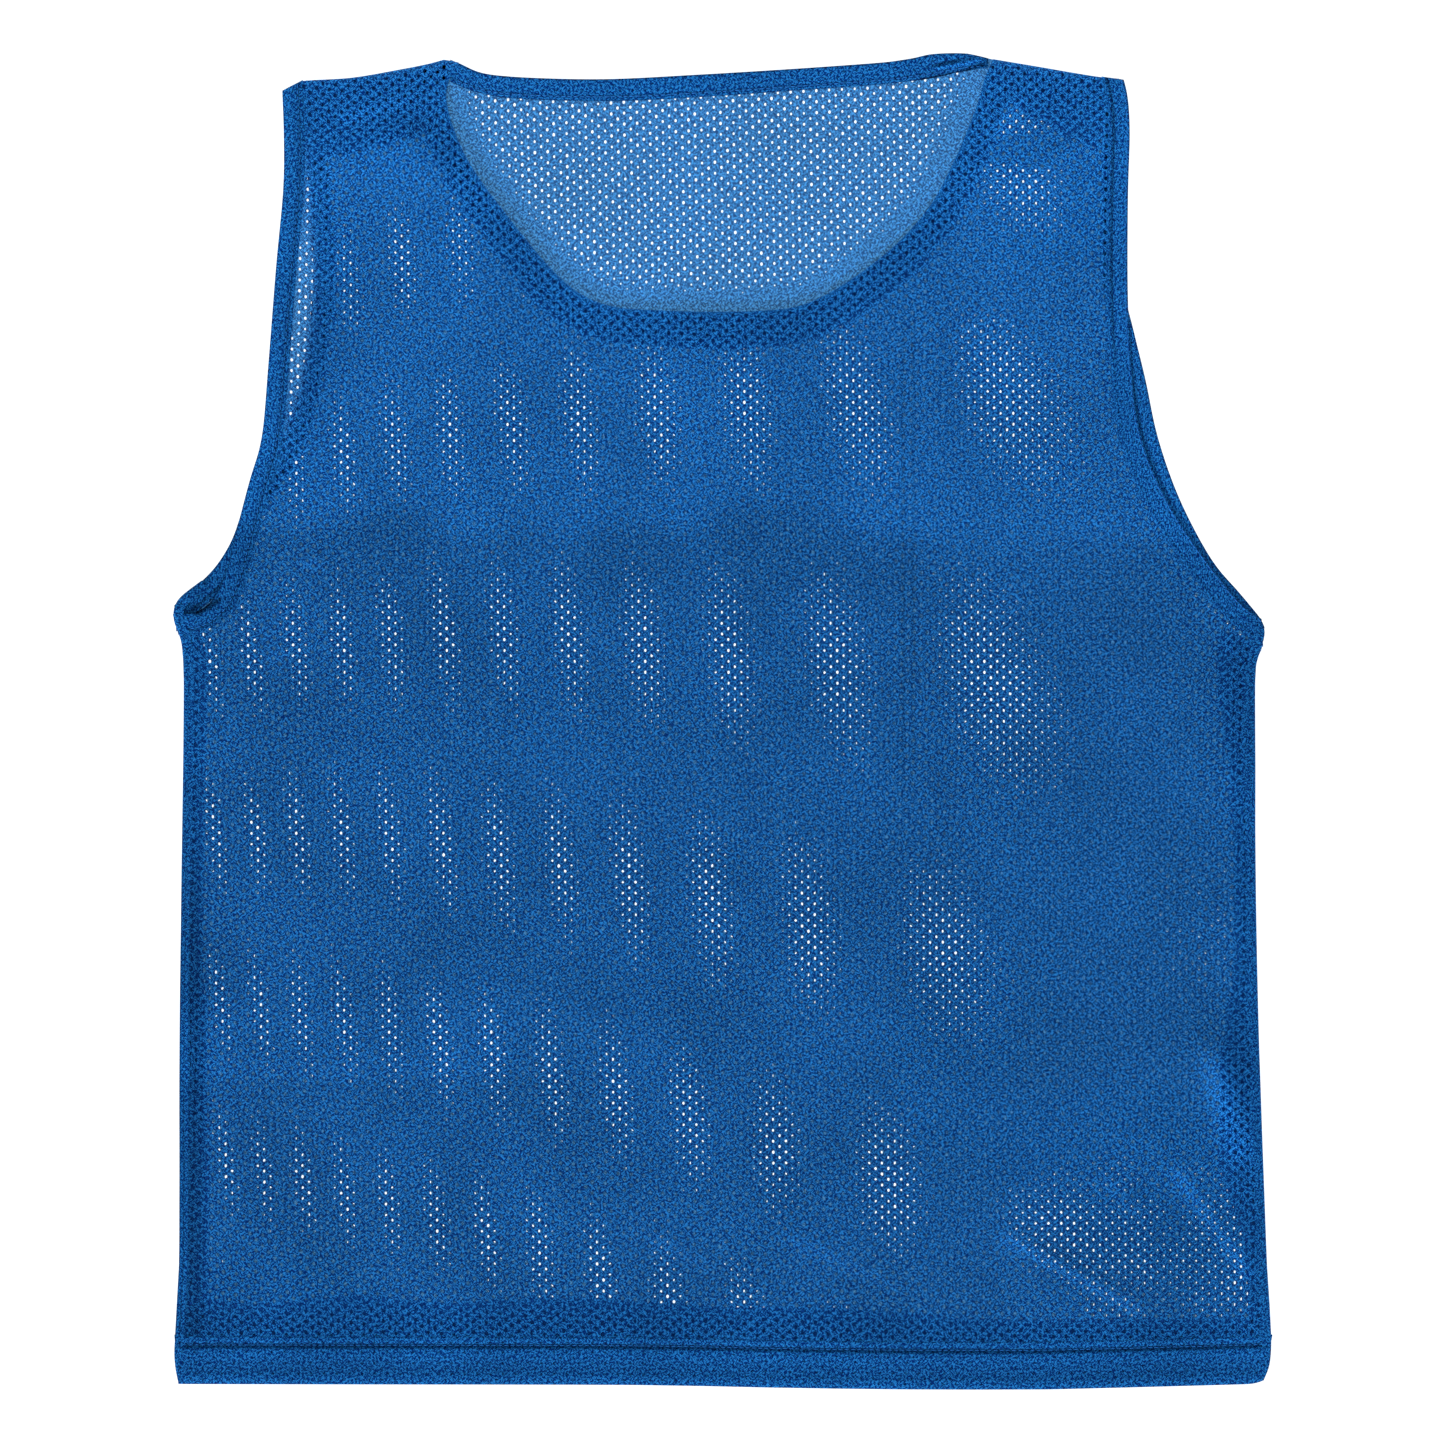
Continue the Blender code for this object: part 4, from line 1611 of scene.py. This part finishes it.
# The table's breadth in metres, and the lamps' breadth, tilt and turn in degrees
TABLE_BREADTH = 6.0
KEY_LAMP = (90.0, 0.0, 0.0)
SIDE_LAMP = (14.0, 66.0, -24.0)


class BIB_OT_stage(bpy.types.Operator):
    """Adds the table, the lamps and the camera straight above"""

    bl_idname = "bib.stage"
    bl_label = "Stage"

    def execute(self, context):
        settings = context.scene.bib_stage
        bpy.ops.object.select_all(action="DESELECT")
        bpy.ops.mesh.primitive_plane_add(size=TABLE_BREADTH, location=(0, 0, 0))
        table = context.object
        table.name = "table"
        table.data.materials.append(material_named(context, ACRYLIC))

        lamps = (
            ("key_lamp", settings.key_strength, KEY_LAMP),
            ("side_lamp", settings.side_strength, SIDE_LAMP),
        )
        for name, strength, (breadth, tilt, turn) in lamps:
            bpy.ops.object.light_add(
                type="SUN",
                location=(0, 0, 2),
                rotation=(math.radians(tilt), 0, math.radians(turn)),
            )
            lamp = context.object
            lamp.name = name
            lamp.data.energy = strength
            lamp.data.angle = math.radians(breadth)

        world = bpy.data.worlds.new("Soft studio")
        context.scene.world = world
        world.use_nodes = True
        sky = world.node_tree.nodes["Background"]
        sky.inputs["Color"].default_value = (1.0, 1.0, 1.0, 1.0)
        sky.inputs["Strength"].default_value = settings.sky_strength

        data = bpy.data.cameras.new("camera")
        data.lens = settings.lens
        distance = settings.view_width * settings.lens / data.sensor_width
        data.clip_end = 3 * distance
        camera = bpy.data.objects.new("camera", data)
        camera.location = (CAMERA_X * MM, CAMERA_Y * MM, distance)
        context.scene.collection.objects.link(camera)
        context.scene.camera = camera
        context.scene.view_settings.view_transform = "Standard"
        return {"FINISHED"}


class BIB_PT_pieces(bpy.types.Panel):
    """Lists the bib's pieces in the sidebar, with the sizes that shape them"""

    bl_idname = "BIB_PT_pieces"
    bl_label = "Mesh training bib"
    bl_space_type = "VIEW_3D"
    bl_region_type = "UI"
    bl_category = "Bib"

    def draw(self, context):
        column = self.layout.column(align=True)
        for operator in OPERATORS:
            column.operator(operator.bl_idname, text=operator.bl_label)
        for setting in SETTINGS:
            group = getattr(context.scene, setting)
            box = self.layout.box()
            for name in group.__annotations__:
                box.prop(group, name)


OPERATORS = (
    BIB_OT_back_panel,
    BIB_OT_neck_binding,
    BIB_OT_armhole_bindings,
    BIB_OT_hems,
    BIB_OT_front_panel,
    BIB_OT_seams,
    BIB_OT_stitches,
    BIB_OT_stage,
)
SETTINGS = {
    "bib_mesh": BibMeshSettings,
    "bib_trim": BibTrimSettings,
    "bib_colours": BibColourSettings,
    "bib_stage": BibStageSettings,
}


def register():
    for group in SETTINGS.values():
        bpy.utils.register_class(group)
    for name, group in SETTINGS.items():
        setattr(bpy.types.Scene, name, PointerProperty(type=group))
    for operator in OPERATORS:
        bpy.utils.register_class(operator)
    bpy.utils.register_class(BIB_PT_pieces)


def unregister():
    bpy.utils.unregister_class(BIB_PT_pieces)
    for operator in reversed(OPERATORS):
        bpy.utils.unregister_class(operator)
    for name, group in reversed(SETTINGS.items()):
        delattr(bpy.types.Scene, name)
        bpy.utils.unregister_class(group)


def main():
    register()
    for operator in OPERATORS:
        group, name = operator.bl_idname.split(".")
        getattr(getattr(bpy.ops, group), name)()


if __name__ == "__main__":
    main()
